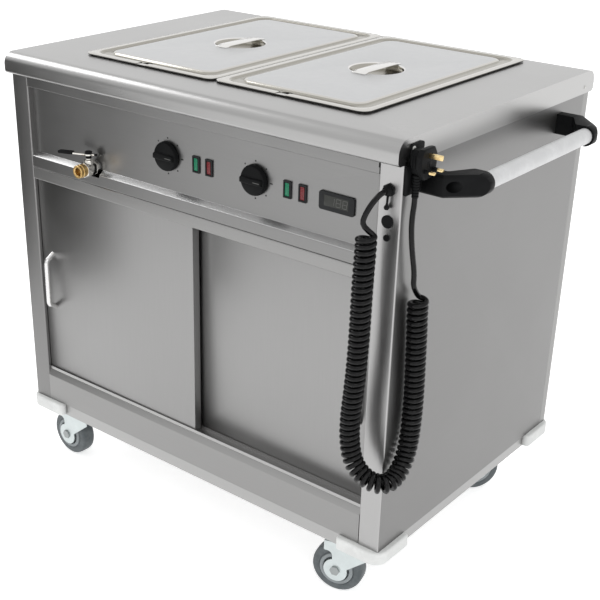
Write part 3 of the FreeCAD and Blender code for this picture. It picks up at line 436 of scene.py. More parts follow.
def mouldedPlastic(name, tone, gloss, grain=900.0, depth=0.00008, coat=0.0, shine=0.07):
    # grain is the scale of the fine pebbles in the mould, depth how deep they are
    look = newLook(name)
    where = look.place()
    pebbles = look.noise(where, grain, 3, 0.6)
    scuffs = look.spread(look.noise(where, 35, 4, 0.65), 0.45, 0.75)
    worn = tuple(c * 1.15 + 0.002 for c in tone)
    return look.surface(Base_Color=look.blend(scuffs, tone, worn),
                        Roughness=scuffs * 0.1 + gloss, Coat_Weight=coat,
                        Specular_IOR_Level=shine,
                        Normal=look.bump(pebbles, depth, 0.6))


def zincPlate(name, tone):
    look = newLook(name)
    where = look.place()
    spangle = look.node("TexVoronoi", {"feature": "F1"}, {"Vector": where, "Scale": 260.0},
                        "Distance")
    clouds = look.spread(look.noise(where, 40, 4, 0.6), 0.3, 0.7)
    return look.surface(Base_Color=look.blend(clouds, shaded(tone, 0.9), tone), Metallic=0.75,
                        Roughness=spangle * 0.1 + clouds * 0.08 + 0.3,
                        Normal=look.bump(spangle, 0.00003, 0.3))


def tyreRubber(name, tone):
    look = newLook(name)
    where = look.place()
    dust = look.spread(look.noise(where, 70, 5, 0.65), 0.4, 0.7)
    fine = look.noise(where, 1500, 2, 0.5)
    pale = tuple(c + 0.06 for c in tone)
    return look.surface(Base_Color=look.blend(dust, tone, pale), Roughness=dust * 0.15 + 0.5,
                        Normal=look.bump(fine, 0.0001, 0.5))


def castBrass(name, tone, gloss):
    look = newLook(name)
    where = look.place()
    stain = look.spread(look.noise(where, 120, 4, 0.65), 0.35, 0.7)
    dull = (tone[0] * 0.72, tone[1] * 0.62, tone[2] * 0.5)
    return look.surface(Base_Color=look.blend(stain, tone, dull), Metallic=1.0,
                        Roughness=stain * 0.2 + gloss, Normal=look.bump(stain, 0.00005, 0.4))


def ribbedLens(name, tone, glow):
    # fine ribs across the lens, with painted shade in their troughs
    look = newLook(name)
    ribs = look.node("TexWave", {"bands_direction": "Z", "wave_profile": "SIN"},
                     {"Vector": look.place(), "Scale": 110.0, "Distortion": 0.0})
    colour = look.blend(1 - ribs, tone, shaded(tone, 0.7))
    return look.surface(Base_Color=colour, Roughness=0.18, Emission_Color=colour,
                        Emission_Strength=glow, Normal=look.bump(ribs, 0.0003, 0.6))


def glossyFlex(name, tone):
    look = newLook(name)
    where = look.place()
    dust = look.spread(look.noise(where, 90, 4, 0.6), 0.45, 0.75)
    return look.surface(Base_Color=look.blend(dust, tone, tuple(c + 0.006 for c in tone)),
                        Roughness=dust * 0.12 + 0.12, Specular_IOR_Level=0.2,
                        Normal=look.bump(look.noise(where, 1400, 2, 0.5), 0.00005, 0.4))


finishSettings = {
    brushedSteel: {
        "frontSteel": {"tone": (0.295, 0.293, 0.29), "grain": "x", "gloss": 0.4},
        "panelSteel": {"tone": (0.235, 0.234, 0.232), "grain": "x", "gloss": 0.36},
        # painted highlight: a much lighter copy of panelSteel, for the control panel's sloped ledge
        "ledgeSteel": {"tone": (0.5, 0.5, 0.5), "grain": "x", "gloss": 0.26, "spread": 0.04,
                       "wave": 0.00001},
        # painted light: a lighter copy of sideSteel, for the right side panel's front post
        "postSteel": {"tone": (0.4, 0.397, 0.395), "grain": "z", "gloss": 0.34},
        "doorSteel": {"tone": (0.3, 0.298, 0.296), "grain": "z", "gloss": 0.36},
        "sideSteel": {"tone": (0.235, 0.233, 0.231), "grain": "y", "gloss": 0.4},
        # painted shade: a darker copy of topSteel, for the worktop's front-facing nose
        "noseSteel": {"tone": (0.385, 0.383, 0.38), "grain": "x", "gloss": 0.32},
        "topSteel": {"tone": (0.45, 0.447, 0.443), "grain": "x", "gloss": 0.32},
        "innerSteel": {"tone": (0.4, 0.398, 0.395), "grain": "x", "gloss": 0.4},
    },
    polishedSteel: {
        "panSteel": {"tone": (0.6, 0.59, 0.57), "gloss": 0.2},
        "lidSteel": {"tone": (0.6, 0.605, 0.61), "gloss": 0.3},
        # lit and shaded copies of the lid's steel for its bands: painted warm reflection on the flat
        # rim and the crown's edge, a painted highlight on the outer edge and round the dish's lip
        # (the straps are made in this brightest one too), painted shade down the groove and in the
        # dish
        "rimSteel": {"tone": (0.62, 0.605, 0.57), "gloss": 0.13},
        "edgeSteel": {"tone": (0.8, 0.79, 0.77), "gloss": 0.1},
        "grooveSteel": {"tone": (0.4, 0.385, 0.345), "gloss": 0.16},
        # painted shadow: a near-black copy of the pan's steel for its hanging edge, where shade
        # falls under the lid's edge
        "rimShade": {"tone": (0.09, 0.088, 0.084), "gloss": 0.3},
        "pullSteel": {"tone": (0.72, 0.715, 0.71), "gloss": 0.14},
        "tapChrome": {"tone": (0.72, 0.7, 0.66), "gloss": 0.12},
    },
    mouldedPlastic: {
        "blackMoulding": {"tone": (0.008, 0.0083, 0.0088), "gloss": 0.4},
        "knobPlastic": {"tone": (0.008, 0.0083, 0.0086), "gloss": 0.44},
        "bezelPlastic": {"tone": (0.028, 0.029, 0.03), "gloss": 0.35},
        # also the black block painted as the shade in the rail's end slit
        "printedBlack": {"tone": (0.006, 0.006, 0.006), "gloss": 0.5},
        "sleevePlastic": {"tone": (0.66, 0.665, 0.67), "gloss": 0.38, "grain": 700, "shine": 0.4},
        "bumperPlastic": {"tone": (0.8, 0.81, 0.8), "gloss": 0.5, "grain": 500},
        "hubPlastic": {"tone": (0.32, 0.345, 0.355), "gloss": 0.5},
        "screenGlass": {"tone": (0.05, 0.052, 0.048), "gloss": 0.2, "grain": 300,
                        "depth": 0.00001, "coat": 0.1},
        "digitSegments": {"tone": (0.13, 0.13, 0.125), "gloss": 0.3},
        "elementSheath": {"tone": (0.05, 0.046, 0.04), "gloss": 0.55},
    },
    zincPlate: {
        "forkZinc": {"tone": (0.64, 0.69, 0.69)},
        "boltZinc": {"tone": (0.6, 0.6, 0.58)},
        "axleZinc": {"tone": (0.36, 0.38, 0.38)},
    },
    tyreRubber: {"tyreRubber": {"tone": (0.085, 0.1, 0.107)}},
    castBrass: {
        "tapBrass": {"tone": (0.7, 0.5, 0.22), "gloss": 0.26},
        "pinBrass": {"tone": (0.82, 0.66, 0.36), "gloss": 0.22},
    },
    ribbedLens: {
        "greenLens": {"tone": (0.0, 0.2, 0.095), "glow": 0.12},
        "redLens": {"tone": (0.19, 0.012, 0.016), "glow": 0.1},
    },
    glossyFlex: {"flexBlack": {"tone": (0.003, 0.003, 0.0033)}},
}
finishes = {name: make(name, **values) for make, rows in finishSettings.items()
            for name, values in rows.items()}
print("finishes made:", len(finishes))


# the mains lead: one flex from the gland, through the curly part, to the plug
leadSettings = {
    "flex": 9.0,
    "curlWidth": 35.0,
    "pitch": 10.3,
    "widestPitch": 1.3,     # times the flex
    "stepsInTurn": 12,
    "phase": math.pi,
    "glandLead": (
        (877.0, -12.0, 818.0), (877.0, -21.0, 818.0), (872.5, -28.5, 810.0),
        (866.5, -34.0, 798.5), (861.0, -38.5, 784.0), (857.5, -41.0, 768.0),
    ),
    "curlRoute": (
        (866.5, -40.0, 752.0), (866.5, -40.0, 728.0), (864.8, -40.0, 690.0),
        (864.0, -40.0, 640.0), (863.6, -40.0, 585.0), (861.8, -40.0, 530.0),
        (858.4, -40.0, 480.0), (854.8, -40.0, 438.0), (854.4, -40.0, 400.0),
        (859.0, -40.0, 368.0), (868.0, -40.0, 348.0), (882.0, -39.5, 334.0),
        (898.0, -36.0, 325.0), (911.5, -27.5, 320.0), (919.0, -14.0, 318.5),
        (921.0, 3.0, 322.0), (920.5, 20.0, 331.0), (920.0, 34.0, 349.0),
        (919.8, 42.0, 375.0), (919.5, 46.0, 406.0), (919.5, 47.5, 445.0),
        (919.5, 46.0, 490.0), (919.5, 43.5, 538.0), (919.6, 41.0, 580.0),
        (920.0, 37.0, 613.0), (920.0, 37.0, 637.0),
    ),
    "plugLead": (
        (913.2, 29.6, 661.0), (914.0, 29.3, 676.0), (914.0, 26.3, 693.0),
        (913.0, 21.3, 715.0), (912.0, 17.0, 740.0), (911.3, 15.0, 763.0),
        (911.0, 16.0, 783.0), (911.0, 19.0, 797.0), (911.0, 19.0, 809.0),
    ),
}


def splineObject(name, points, resolution):
    # a smooth NURBS line through the control points given in metres
    data = bpy.data.curves.new(name, "CURVE")
    data.dimensions = "3D"
    data.resolution_u = resolution
    spline = data.splines.new("NURBS")
    spline.points.add(len(points) - 1)
    for point, place in zip(spline.points, points):
        point.co = (*place, 1)
    spline.order_u = 3
    spline.use_endpoint_u = True
    made = bpy.data.objects.new(name, data)
    bpy.context.scene.collection.objects.link(made)
    return made


def sampledLine(points, resolution):
    # points read from the smooth line, in order
    curve = splineObject("routeLine", points, resolution)
    bpy.context.view_layer.update()
    mesh = bpy.data.meshes.new_from_object(curve.evaluated_get(
        bpy.context.evaluated_depsgraph_get()))
    line = [v.co.copy() for v in mesh.vertices]
    bpy.data.objects.remove(curve)
    bpy.data.meshes.remove(mesh)
    return line


def curledPoints(line, settings):
    # a helix round the line: its turns open where the line bends, so that they don't overlap
    flex, radius = mm(settings["flex"]), mm(settings["curlWidth"] - settings["flex"]) / 2
    stepTurn = 2 * math.pi / settings["stepsInTurn"]
    reach = radius / (0.75 + 0.25 * math.cos(stepTurn))   # the smooth line cuts its points' corners
    tangent = (line[1] - line[0]).normalized()
    side = Matrix.Rotation(settings["phase"], 3, tangent) @ tangent.orthogonal().normalized()
    points, turned, due = [], 0.0, 0.0
    for start, end in zip(line, line[1:]):
        length = (end - start).length
        fresh = (end - start).normalized()
        lean = tangent.rotation_difference(fresh)
        side = (lean @ side).normalized()
        tangent = fresh
        bend = lean.angle / max(length, 1e-9)
        pitch = max(mm(settings["pitch"]), flex / max(0.3, 1 - bend * radius * 0.5))
        pitch = min(pitch, settings["widestPitch"] * flex)
        step = 2 * math.pi * length / pitch
        while turned + step >= due:
            spot = start.lerp(end, (due - turned) / step)
            spoke = Matrix.Rotation(due % (2 * math.pi), 3, tangent) @ side
            points.append(spot + spoke * reach)
            due += stepTurn
        turned += step
    print("curly part:", round(turned / (2 * math.pi), 1), "turns over",
          round(lineLength(line), 3), "m")
    return points


def lineLength(line):
    return sum((b - a).length for a, b in zip(line, line[1:]))


def makeLead(settings):
    glandLead, curlRoute, plugLead = ([at(*p) for p in settings[key]] for key in (
        "glandLead", "curlRoute", "plugLead"))
    points = glandLead + curledPoints(sampledLine(curlRoute, 24), settings) + plugLead
    lead = splineObject("mainsLead", points, 3)
    lead.data.bevel_depth = mm(settings["flex"]) / 2
    lead.data.bevel_resolution = 3
    lead.data.use_fill_caps = True
    lead.data.materials.append(finishes["flexBlack"])
    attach(lead, "trolley")
    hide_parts("gland_lead", "coiled_lead", "plug_lead")
    length = lineLength(sampledLine(points, 6))
    print("lead length:", round(length, 3), "m")
    return lead, points[0], length


lead, leadExit, leadLength = makeLead(leadSettings)
print("lead made")


plugSettings = {
    "back": 904.0, "waist": 920.5, "face": 930.0, "middle": 22.0,
    # half outlines: offset from the middle and height, from the foot to the top
    "flange": ((9.5, 841.0), (15.0, 846.5), (20.5, 853.0), (22.0, 861.0), (22.0, 878.0),
               (15.0, 888.2), (9.0, 889.0)),
    "hump": ((6.0, 845.0), (10.0, 848.0), (12.0, 856.0), (12.0, 876.0), (9.0, 884.0),
             (5.0, 885.0)),
    "flangeRound": 2.2, "humpRound": 3.0, "humpSunk": 1.0,
    "grips": {"count": 3, "start": 2.0, "pitch": 5.0, "width": 2.4, "inner": 11.6, "outer": 13.0,
              "foot": 856.0, "head": 876.0, "soft": 0.5},
    # the fuse carrier and the bar on it: half width, foot, head, proud of the face, soft edge
    "fuseCarrier": ((5.5, 858.0, 868.5, 0.5, 0.7), (1.0, 860.0, 866.5, 1.0, 0.3)),
    "fuseRoot": 2.0,
    "relief": {"place": (911.0, 19.0), "top": 845.0, "length": 36.0, "topWidth": 13.0,
               "footWidth": 11.0, "ribs": 8, "steps": 28,
               # share of a rib's pitch, and how far the sleeve draws in there
               "rib": ((0.0, 0.0), (0.62, 0.0), (0.68, 1.3), (0.94, 1.3))},
    "pinSpacing": 22.2, "linePinHeight": 855.0, "root": 6.0,
    # width, height, length and soft edge
    "earthPin": (4.0, 8.0, 22.7, 0.9), "linePin": (6.3, 4.0, 17.7, 0.8),
    "sleeve": {"length": 9.0, "root": 1.0, "wall": 0.15, "soft": 0.5},
}


def plugSlab(half, middle, start, end, soft):
    bm = bmesh.new()
    outline = [(middle + y, z) for y, z in half] + [(middle - y, z) for y, z in reversed(half)]
    bm.faces.new([bm.verts.new(at(start, y, z)) for y, z in outline])
    extrudeOutline(bm, (mm(end - start), 0, 0))
    softenEdges(bm, soft, 3, 60)
    return bm


def makePlug(settings):
    back, waist, face, middle = (settings[key] for key in ("back", "waist", "face", "middle"))
    bm = plugSlab(settings["flange"], middle, waist, face, settings["flangeRound"])
    joinInto(bm, plugSlab(settings["hump"], middle, back, waist + settings["humpSunk"],
                          settings["humpRound"]))
    grips = settings["grips"]       # ribs for the fingers, down each side of the back
    for side in (-1, 1):
        for i in range(grips["count"]):
            start = back + grips["start"] + i * grips["pitch"]
            addBlock(bm, (start, middle + side * grips["inner"], grips["foot"]),
                     (start + grips["width"], middle + side * grips["outer"], grips["head"]),
                     grips["soft"])
    for half, foot, head, proud, soft in settings["fuseCarrier"]:
        addBlock(bm, (face - settings["fuseRoot"], middle - half, foot),
                 (face + proud, middle + half, head), soft)
    relief = settings["relief"]
    length, footWidth, topWidth = (relief[key] for key in ("length", "footWidth", "topWidth"))
    profile = [(0, 0)]
    for i in range(relief["ribs"]):
        for share, drop in relief["rib"]:
            height = (i + share) / relief["ribs"] * length
            width = footWidth + (topWidth - footWidth) * height / length
            profile.append((width / 2 - drop, height))
    profile += [(topWidth / 2, length), (0, length)]
    addSpun(bm, profile, relief["steps"], at(*relief["place"], relief["top"] - length), (0, 0, 1))
    return finishPiece("plugTop", bm, "trolley", "blackMoulding", ("plug_body",))


def makePins(settings):
    pins, sleeves = bmesh.new(), bmesh.new()
    face, middle, base, spacing = (settings[key] for key in (
        "face", "middle", "linePinHeight", "pinSpacing"))
    linePins = [(middle + side * spacing / 2, base, settings["linePin"]) for side in (-1, 1)]
    for y, z, pin in [(middle, base + spacing, settings["earthPin"])] + linePins:
        width, height, length, soft = pin
        addBlock(pins, (face - settings["root"], y - width / 2, z - height / 2),
                 (face + length, y + width / 2, z + height / 2), soft)
    sleeve = settings["sleeve"]
    for y, z, pin in linePins:
        halfWidth, halfHeight = (size / 2 + sleeve["wall"] for size in pin[:2])
        addBlock(sleeves, (face - sleeve["root"], y - halfWidth, z - halfHeight),
                 (face + sleeve["length"], y + halfWidth, z + halfHeight), sleeve["soft"])
    made = finishPiece("plugPins", pins, "trolley", "pinBrass", ("plug_pins",))
    covered = finishPiece("pinSleeves", sleeves, "trolley", "blackMoulding")
    return [made, covered]


glandSettings = {
    "place": (877.0, 0.0, 818.0), "nutWidth": 19.0, "nutHeight": 3.6, "nutSoft": 0.7, "steps": 32,
    # radius and height of the dome, of the tag that hangs below it and of the thread behind it
    "dome": ((0, 3.2), (8.36, 3.2), (8.36, 6.0), (7.6, 8.4), (6.4, 10.8), (5.4, 12.0), (0, 12.0)),
    "tag": ((0, 0), (2.1, 0), (1.7, 13), (2.2, 16.4), (4.0, 18.5), (4.3, 21), (3.2, 23.6),
            (0, 24.6)),
    "tagPlace": (878.5, -5.4, 812.0), "tagWay": (-0.05, -0.02, -1), "tagSteps": 20,
    "thread": ((0, 0), (8, 0), (8, 11.2), (0, 11.2)),
}


def makeGland(settings):
    place = at(*settings["place"])
    bm = hexPrism(settings["nutWidth"], settings["nutHeight"], settings["nutSoft"])
    joinInto(bm, spunBody(settings["dome"], settings["steps"]))
    stoodAt(bm, place, (0, -1, 0))
    addSpun(bm, settings["tag"], settings["tagSteps"], at(*settings["tagPlace"]),
            settings["tagWay"])
    addSpun(bm, settings["thread"], settings["steps"], place, (0, 1, 0))
    finishPiece("leadGland", bm, "trolley", "blackMoulding", ("cable_gland",))


studSettings = {
    # a screw in the plug's holder and a rivet under the worktop's nose, both on the right side
    "holderScrew": {"place": (904.0, 18.0, 884.5), "steps": 24,
                    "head": ((0, 0), (3.6, 0), (3.4, 1.2), (2.2, 2.0), (0, 2.3))},
    "worktopRivet": {"place": (900.0, 600.0, 872.0), "steps": 20,
                     "head": ((0, 0), (3.4, 0), (3.2, 0.7), (1.9, 1.3), (0, 1.5))},
}


def makeStud(name, settings):
    bm = spunBody(settings["head"], settings["steps"])
    stoodAt(bm, at(*settings["place"]), (1, 0, 0))
    finishPiece(name, bm, "trolley", "boltZinc")


plug = makePlug(plugSettings)
pins = makePins(plugSettings)
makeGland(glandSettings)
for name, settings in studSettings.items():
    makeStud(name, settings)
mm(leadSettings["flex"])
print("plug, gland and holder made")


def dressedNode(node, body, finish, piece, soft=0.0, sharp=32):
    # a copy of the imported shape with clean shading, its edges softened by millimetres
    bm = bmesh.new()
    bm.from_mesh(nodes[node].data)
    bmesh.ops.remove_doubles(bm, verts=bm.verts, dist=2e-6)
    bmesh.ops.dissolve_limit(bm, angle_limit=math.radians(0.6), verts=bm.verts, edges=bm.edges)
    if soft:
        softenEdges(bm, soft)
    return finishPiece(piece, bm, body, finish, (node,), sharp)


sheetFinishes = {
    "worktop": "topSteel",
    "side_panel_left": "sideSteel",
    "side_panel_right": "sideSteel",
    "rear_panel": "frontSteel",
    "chassis": "innerSteel",
    "plinth": "frontSteel",
    "head_rail": "frontSteel",
    "control_panel": "panelSteel",
    "door_track_lower": "innerSteel",
    "door_track_upper": "innerSteel",
    "cupboard_liner": "innerSteel",
    "cupboard_shelf": "innerSteel",
    "shelf_runners": "innerSteel",
    "bain_marie_tank": "innerSteel",
    "pan_divider_bar": "topSteel",
    "drain_pipe": "innerSteel",
}
sheets = {node: dressedNode(node, "trolley", finish, node + "Sheet")
          for node, finish in sheetFinishes.items()}
# painted highlight: the control panel's ledge, which faces up and forward, takes a much lighter copy
# of its steel
secondFinish(sheets["control_panel"], "ledgeSteel",
             lambda face: face.normal.z > 0.5 and face.normal.y < -0.3)
# painted shade: the worktop's faces that look forward, its nose, take a darker copy of its steel
secondFinish(sheets["worktop"], "noseSteel", lambda face: face.normal.y < -0.25)
# painted light: the right side panel's front-facing post takes a lighter copy of its steel
secondFinish(sheets["side_panel_right"], "postSteel", lambda face: face.normal.y < -0.5)

pairSettings = (
    # what comes once on the left and once on the right:
    # node, body, slot, finish, piece, softened edge
    ("door_", "sliding_door_", "steel", "doorSteel", "doorLeaf_", 1.2),
    ("door_pull_", "sliding_door_", "bright_steel", "pullSteel", "doorPullBow_", 0.0),
    ("lid_handle_", "pan_cover_", "bright_steel", "edgeSteel", "lidStrap_", 0.3),
)
for side in sides:
    for node, body, slot, finish, piece, soft in pairSettings:
        dressedNode(node + side, body + side, finish, piece + side, soft)

fittingSettings = (
    # node, slot, finish, piece, softened edge, sharp angle
    ("corner_bumpers", "bumper_plastic", "bumperPlastic", "cornerBumperSet", 0.0, 40),
    ("handle_brackets", "black_plastic", "blackMoulding", "handleBracketPair", 1.0, 32),
    ("plug_park", "black_plastic", "blackMoulding", "plugHolder", 1.0, 32),
    ("handle_tube", "grey_plastic", "sleevePlastic", "handleSleeve", 0.0, 32),
    ("hole_plugs", "black_plastic", "blackMoulding", "holeCapPair", 0.0, 32),
    ("fixing_bolts", "zinc", "boltZinc", "boltSet", 0.4, 32),
    ("castor_plates", "zinc", "forkZinc", "castorTopPlates", 0.5, 32),
    ("lamp_bezels", "black_plastic", "bezelPlastic", "lampFrames", 0.4, 32),
)
for node, slot, finish, piece, soft, sharp in fittingSettings:
    dressedNode(node, "trolley", finish, piece, soft, sharp)

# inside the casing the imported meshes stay, with a finish of their own
innerFinishes = {"thermostats": "bezelPlastic", "tank_element": "elementSheath",
                 "cupboard_element": "elementSheath"}
for node, finish in innerFinishes.items():
    nodes[node].data.materials.clear()
    nodes[node].data.materials.append(finishes[finish])
print("casing dressed")


panelFace = 12.0        # the control panel's depth behind the front
knobSettings = {
    "places": {"left": 401.5, "right": 603.5}, "height": 772.0, "back": 11.5, "steps": 64,
    "bodies": {"left": "boiler_knob", "right": "cupboard_knob"},
    "profile": ((0, 0), (25.5, 0), (26.8, 1.0), (27.0, 3.0), (26.4, 7.2), (24.8, 9.6),
                (22.4, 10.7), (0, 11.2)),
    # fine flutes round the skirt: every second step between these heights is drawn in
    "flutes": {"radius": 25.5, "foot": 0.8, "head": 8.5, "drawn": 0.982},
    "ridge": {"length": 47.0, "width": 13.5, "root": 9.0, "front": 16.0, "taper": (0.97, 0.62),
              "round": 1.5},
    "pointer": {"start": 7.0, "end": 21.0, "half": 0.6, "proud": 0.12},
    "marks": {"angles": (90, 45, -45, -90, 135, -135), "ring": 32.5, "size": 1.5, "proud": 0.14,
              "steps": 14, "tick": (31, 37), "tickHalf": 0.9, "tickFace": 11.84,
              "tickRoot": 12.05},
}


def makeKnob(side, settings):
    x, z, steps = settings["places"][side], settings["height"], settings["steps"]
    bm = spunBody(settings["profile"], steps)
    flutes = settings["flutes"]
    rim = [v for v in bm.verts if mm(flutes["radius"]) < Vector(v.co[:2]).length
           and mm(flutes["foot"]) < v.co.z < mm(flutes["head"])]
    for v in rim:
        if round(math.atan2(v.co.y, v.co.x) / (2 * math.pi) * steps) % 2:
            v.co.x *= flutes["drawn"]
            v.co.y *= flutes["drawn"]
    ridge = settings["ridge"]
    depth = ridge["front"] - ridge["root"]
    middle = mm(ridge["root"] + depth / 2)
    made = placedCube(bm, (mm(ridge["length"]), mm(ridge["width"]), mm(depth)), (0, 0, middle))
    top = [v for v in made if v.co.z > middle]
    bmesh.ops.scale(bm, vec=(*ridge["taper"], 1), verts=top)
    bevelEdges(bm, edgesOf(made), ridge["round"], 3)
    stoodAt(bm, at(x, settings["back"], z), (0, -1, 0))
    finishPiece("knob_" + side + "Dial", bm, settings["bodies"][side],
                "knobPlastic", ("knob_" + side,))
    pointer = settings["pointer"]
    front, half = settings["back"] - ridge["front"], pointer["half"]
    line = bmesh.new()
    addBlock(line, (x + pointer["start"], front - pointer["proud"], z - half),
             (x + pointer["end"], front + half, z + half))
    finishPiece("knob_" + side + "Pointer", line, settings["bodies"][side],
                "digitSegments")


def makeMarks(settings):
    bm = bmesh.new()
    z, marks = settings["height"], settings["marks"]
    size, proud, ring = marks["size"], marks["proud"], marks["ring"]
    for x in settings["places"].values():
        for angle in marks["angles"]:
            a = math.radians(angle)
            addSpun(bm, ((0, 0), (size, 0), (size, proud), (0, proud)), marks["steps"],
                    at(x + ring * math.cos(a), panelFace, z + ring * math.sin(a)), (0, -1, 0))
        start, end = marks["tick"]
        addBlock(bm, (x + start, marks["tickFace"], z - marks["tickHalf"]),
                 (x + end, marks["tickRoot"], z + marks["tickHalf"]))
    finishPiece("knobScaleMarks", bm, "trolley", "printedBlack")


lensSettings = {
    "pairs": {
        "green_lenses": {"places": (470.0, 672.5), "finish": "greenLens", "slot": "green"},
        "red_lenses": {"places": (500.0, 704.0), "finish": "redLens", "slot": "red"},
    },
    "height": 770.5, "width": 11.0, "length": 25.0, "front": 9.8, "back": 12.0, "soft": 0.9,
    # raised ribs that catch the light
    "ribs": {"offsets": (-3.0, 0.0, 3.0), "half": 0.7, "proud": 0.45, "sunk": 0.2, "inset": 2.0,
             "soft": 0.3},
    "rim": {"width": 1.3, "over": 0.3, "proud": 0.7, "back": 11.0, "soft": 0.2},
}


def makeLenses(node, settings):
    lenses, rims = bmesh.new(), bmesh.new()
    pair, ribs, rim = settings["pairs"][node], settings["ribs"], settings["rim"]
    half, front = settings["width"] / 2, settings["front"]
    low, high = (settings["height"] + sign * settings["length"] / 2 for sign in (-1, 1))
    for x in pair["places"]:
        addBlock(lenses, (x - half, front, low), (x + half, settings["back"], high),
                 settings["soft"])
        for offset in ribs["offsets"]:
            addBlock(lenses, (x + offset - ribs["half"], front - ribs["proud"], low + ribs["inset"]),
                     (x + offset + ribs["half"], front + ribs["sunk"], high - ribs["inset"]),
                     ribs["soft"])
        near, far = x - half - rim["over"], x + half + rim["over"]
        foot, head, width = low - rim["over"], high + rim["over"], rim["width"]
        for start, end, bottom, top in ((near, near + width, foot, head),
                                        (far - width, far, foot, head),
                                        (near, far, foot, low + width),
                                        (near, far, high - width, head)):
            addBlock(rims, (start, front - rim["proud"], bottom), (end, rim["back"], top),
                     rim["soft"])
    name = node.replace("_", "")
    finishPiece(name + "Ribbed", lenses, "trolley", pair["finish"], (node,))
    finishPiece(name + "Rims", rims, "trolley", "blackMoulding")


displaySettings = {
    "place": (773.0, 769.8), "size": (70.0, 31.5), "corner": 5.0, "cornerSteps": 5,
    "proud": 3.5, "soft": 1.0,
    "case": {"inset": 1.5, "back": 35.0},       # what lies behind the panel
    "window": {"size": (48.0, 18.0), "height": 771.0, "front": 8.2, "back": 9.4, "soft": 0.35},
    "digits": "188",
    "digit": {"height": 12.6, "width": 8.2, "pitch": 12.6, "bar": 1.3, "gap": 0.2, "lean": 0.12,
              "first": 0.62, "front": 8.0, "back": 8.3},
}
segmentsOf = {"1": "BC", "8": "ABCDEFG"}


def makeDisplay(settings):
    (x, z), (w, h) = settings["place"], settings["size"]
    bm = bmesh.new()
    outline = roundedLoop(bm, x - w / 2, x + w / 2, -h / 2, h / 2, 0, settings["corner"],
                          settings["cornerSteps"])
    bmesh.ops.contextual_create(bm, geom=outline)
    extrudeOutline(bm, (0, 0, mm(settings["proud"])))
    softenEdges(bm, settings["soft"], 3, 60)
    # the bezel was drawn lying flat and is stood up against the panel
    shift = Matrix.Translation(-at(x, 0, 0))
    stand = Matrix.Rotation(math.radians(90), 4, "X")
    bmesh.ops.transform(bm, matrix=Matrix.Translation(at(x, panelFace, z)) @ stand @ shift,
                        verts=bm.verts)
    inset = settings["case"]["inset"]
    addBlock(bm, (x - w / 2 + inset, panelFace, z - h / 2 + inset),
             (x + w / 2 - inset, settings["case"]["back"], z + h / 2 - inset))
    finishPiece("thermometerFrame", bm, "trolley", "bezelPlastic",
                ("thermometer_bezel",))
    window = settings["window"]
    (w, h), z = window["size"], window["height"]
    glass = bmesh.new()
    addBlock(glass, (x - w / 2, window["front"], z - h / 2), (x + w / 2, window["back"], z + h / 2),
             window["soft"])
    finishPiece("thermometerWindow", glass, "trolley", "screenGlass",
                ("thermometer_screen",))
    makeDigits(x, z, settings)


def makeDigits(x, z, settings):
    bm = bmesh.new()
    digit = settings["digit"]
    w, h, bar, gap = (digit[key] for key in ("width", "height", "bar", "gap"))
    bars = {
        "A": (0, h / 2, w, bar), "G": (0, 0, w, bar), "D": (0, -h / 2, w, bar),
        "B": (w / 2, h / 4, bar, h / 2), "C": (w / 2, -h / 4, bar, h / 2),
        "F": (-w / 2, h / 4, bar, h / 2), "E": (-w / 2, -h / 4, bar, h / 2),
    }
    for i, number in enumerate(settings["digits"]):
        for key in segmentsOf[number]:
            across, up, wide, tall = bars[key]
            middle = x + (i - digit["first"]) * digit["pitch"] + across + up * digit["lean"]
            addBlock(bm, (middle - wide / 2 + gap, digit["front"], z + up - tall / 2 + gap),
                     (middle + wide / 2 - gap, digit["back"], z + up + tall / 2 - gap))
    finishPiece("thermometerDigits", bm, "trolley", "digitSegments")


for side in sides:
    makeKnob(side, knobSettings)
makeMarks(knobSettings)
for node in lensSettings["pairs"]:
    makeLenses(node, lensSettings)
makeDisplay(displaySettings)
print("controls made")


tapSettings = {
    # the barrel's axis, then where its parts start and end in front of the panel
    "place": 213.0, "height": 713.0,
    "barrelBack": 8.0, "sealFront": -3.5, "barrelFront": -20.0,
    "hexagon": 26.5, "collar": 7.0, "collarSoft": 0.8, "hexagonSoft": 1.6, "neckSet": 0.5,
    "sealSet": 3.1,
    # radius and height of what is turned
    "outlet": ((7.5, 0), (12.0, 0), (12.4, 0.6), (12.4, 8.4), (11.6, 9.2), (11.6, 10.4),
               (12.2, 11.0), (12.2, 15.0), (11.4, 16.0), (8.8, 16.0), (7.5, 14.6)),
    "neck": ((0, 0), (10.4, 0), (10.4, 14.0), (0, 14.0)),
    "bonnet": ((0, 4), (9.4, 4), (9.4, 16.2), (8.6, 17.6), (6.4, 18.6), (6.0, 20.4), (0, 20.4)),
    "seal": ((10.6, 0), (14.0, 0.4), (14.8, 1.5), (14.0, 2.6), (10.6, 3.0)),
    "packing": ((0, 20.5), (5.2, 20.5), (5.2, 25.4), (0, 25.4)),
    "stemPlace": -6.0,
}
leverSettings = {
    "height": 739.3, "turn": 22.5,
    # drawn about the stem, pointing left: size, middle, softened edge and its segments
    "bar": ((60.0, 10.0, 3.0), (-30.0, 0.0, 1.5), 0.8, 2),
    "stopTab": ((10.0, 5.0, 3.0), (9.0, 0.0, 1.5), 0.6, 2),
    "sleeve": ((31.0, 12.4, 5.4), (-45.6, 0.0, 1.5), 2.2, 4),
    "tip": ((4.0, 6.0, 4.0), (14.0, 0.0, 1.5), 0.8, 2),
    "eye": ((0, 0), (7.6, 0), (8.0, 0.5), (8.0, 2.5), (7.6, 3.0), (0, 3.0)),
    "stem": ((0, -18), (3.9, -18), (3.9, 0.5), (0, 0.5)),
    "nut": {"width": 12.0, "height": 4.5, "soft": 0.7, "foot": 3.0},
}


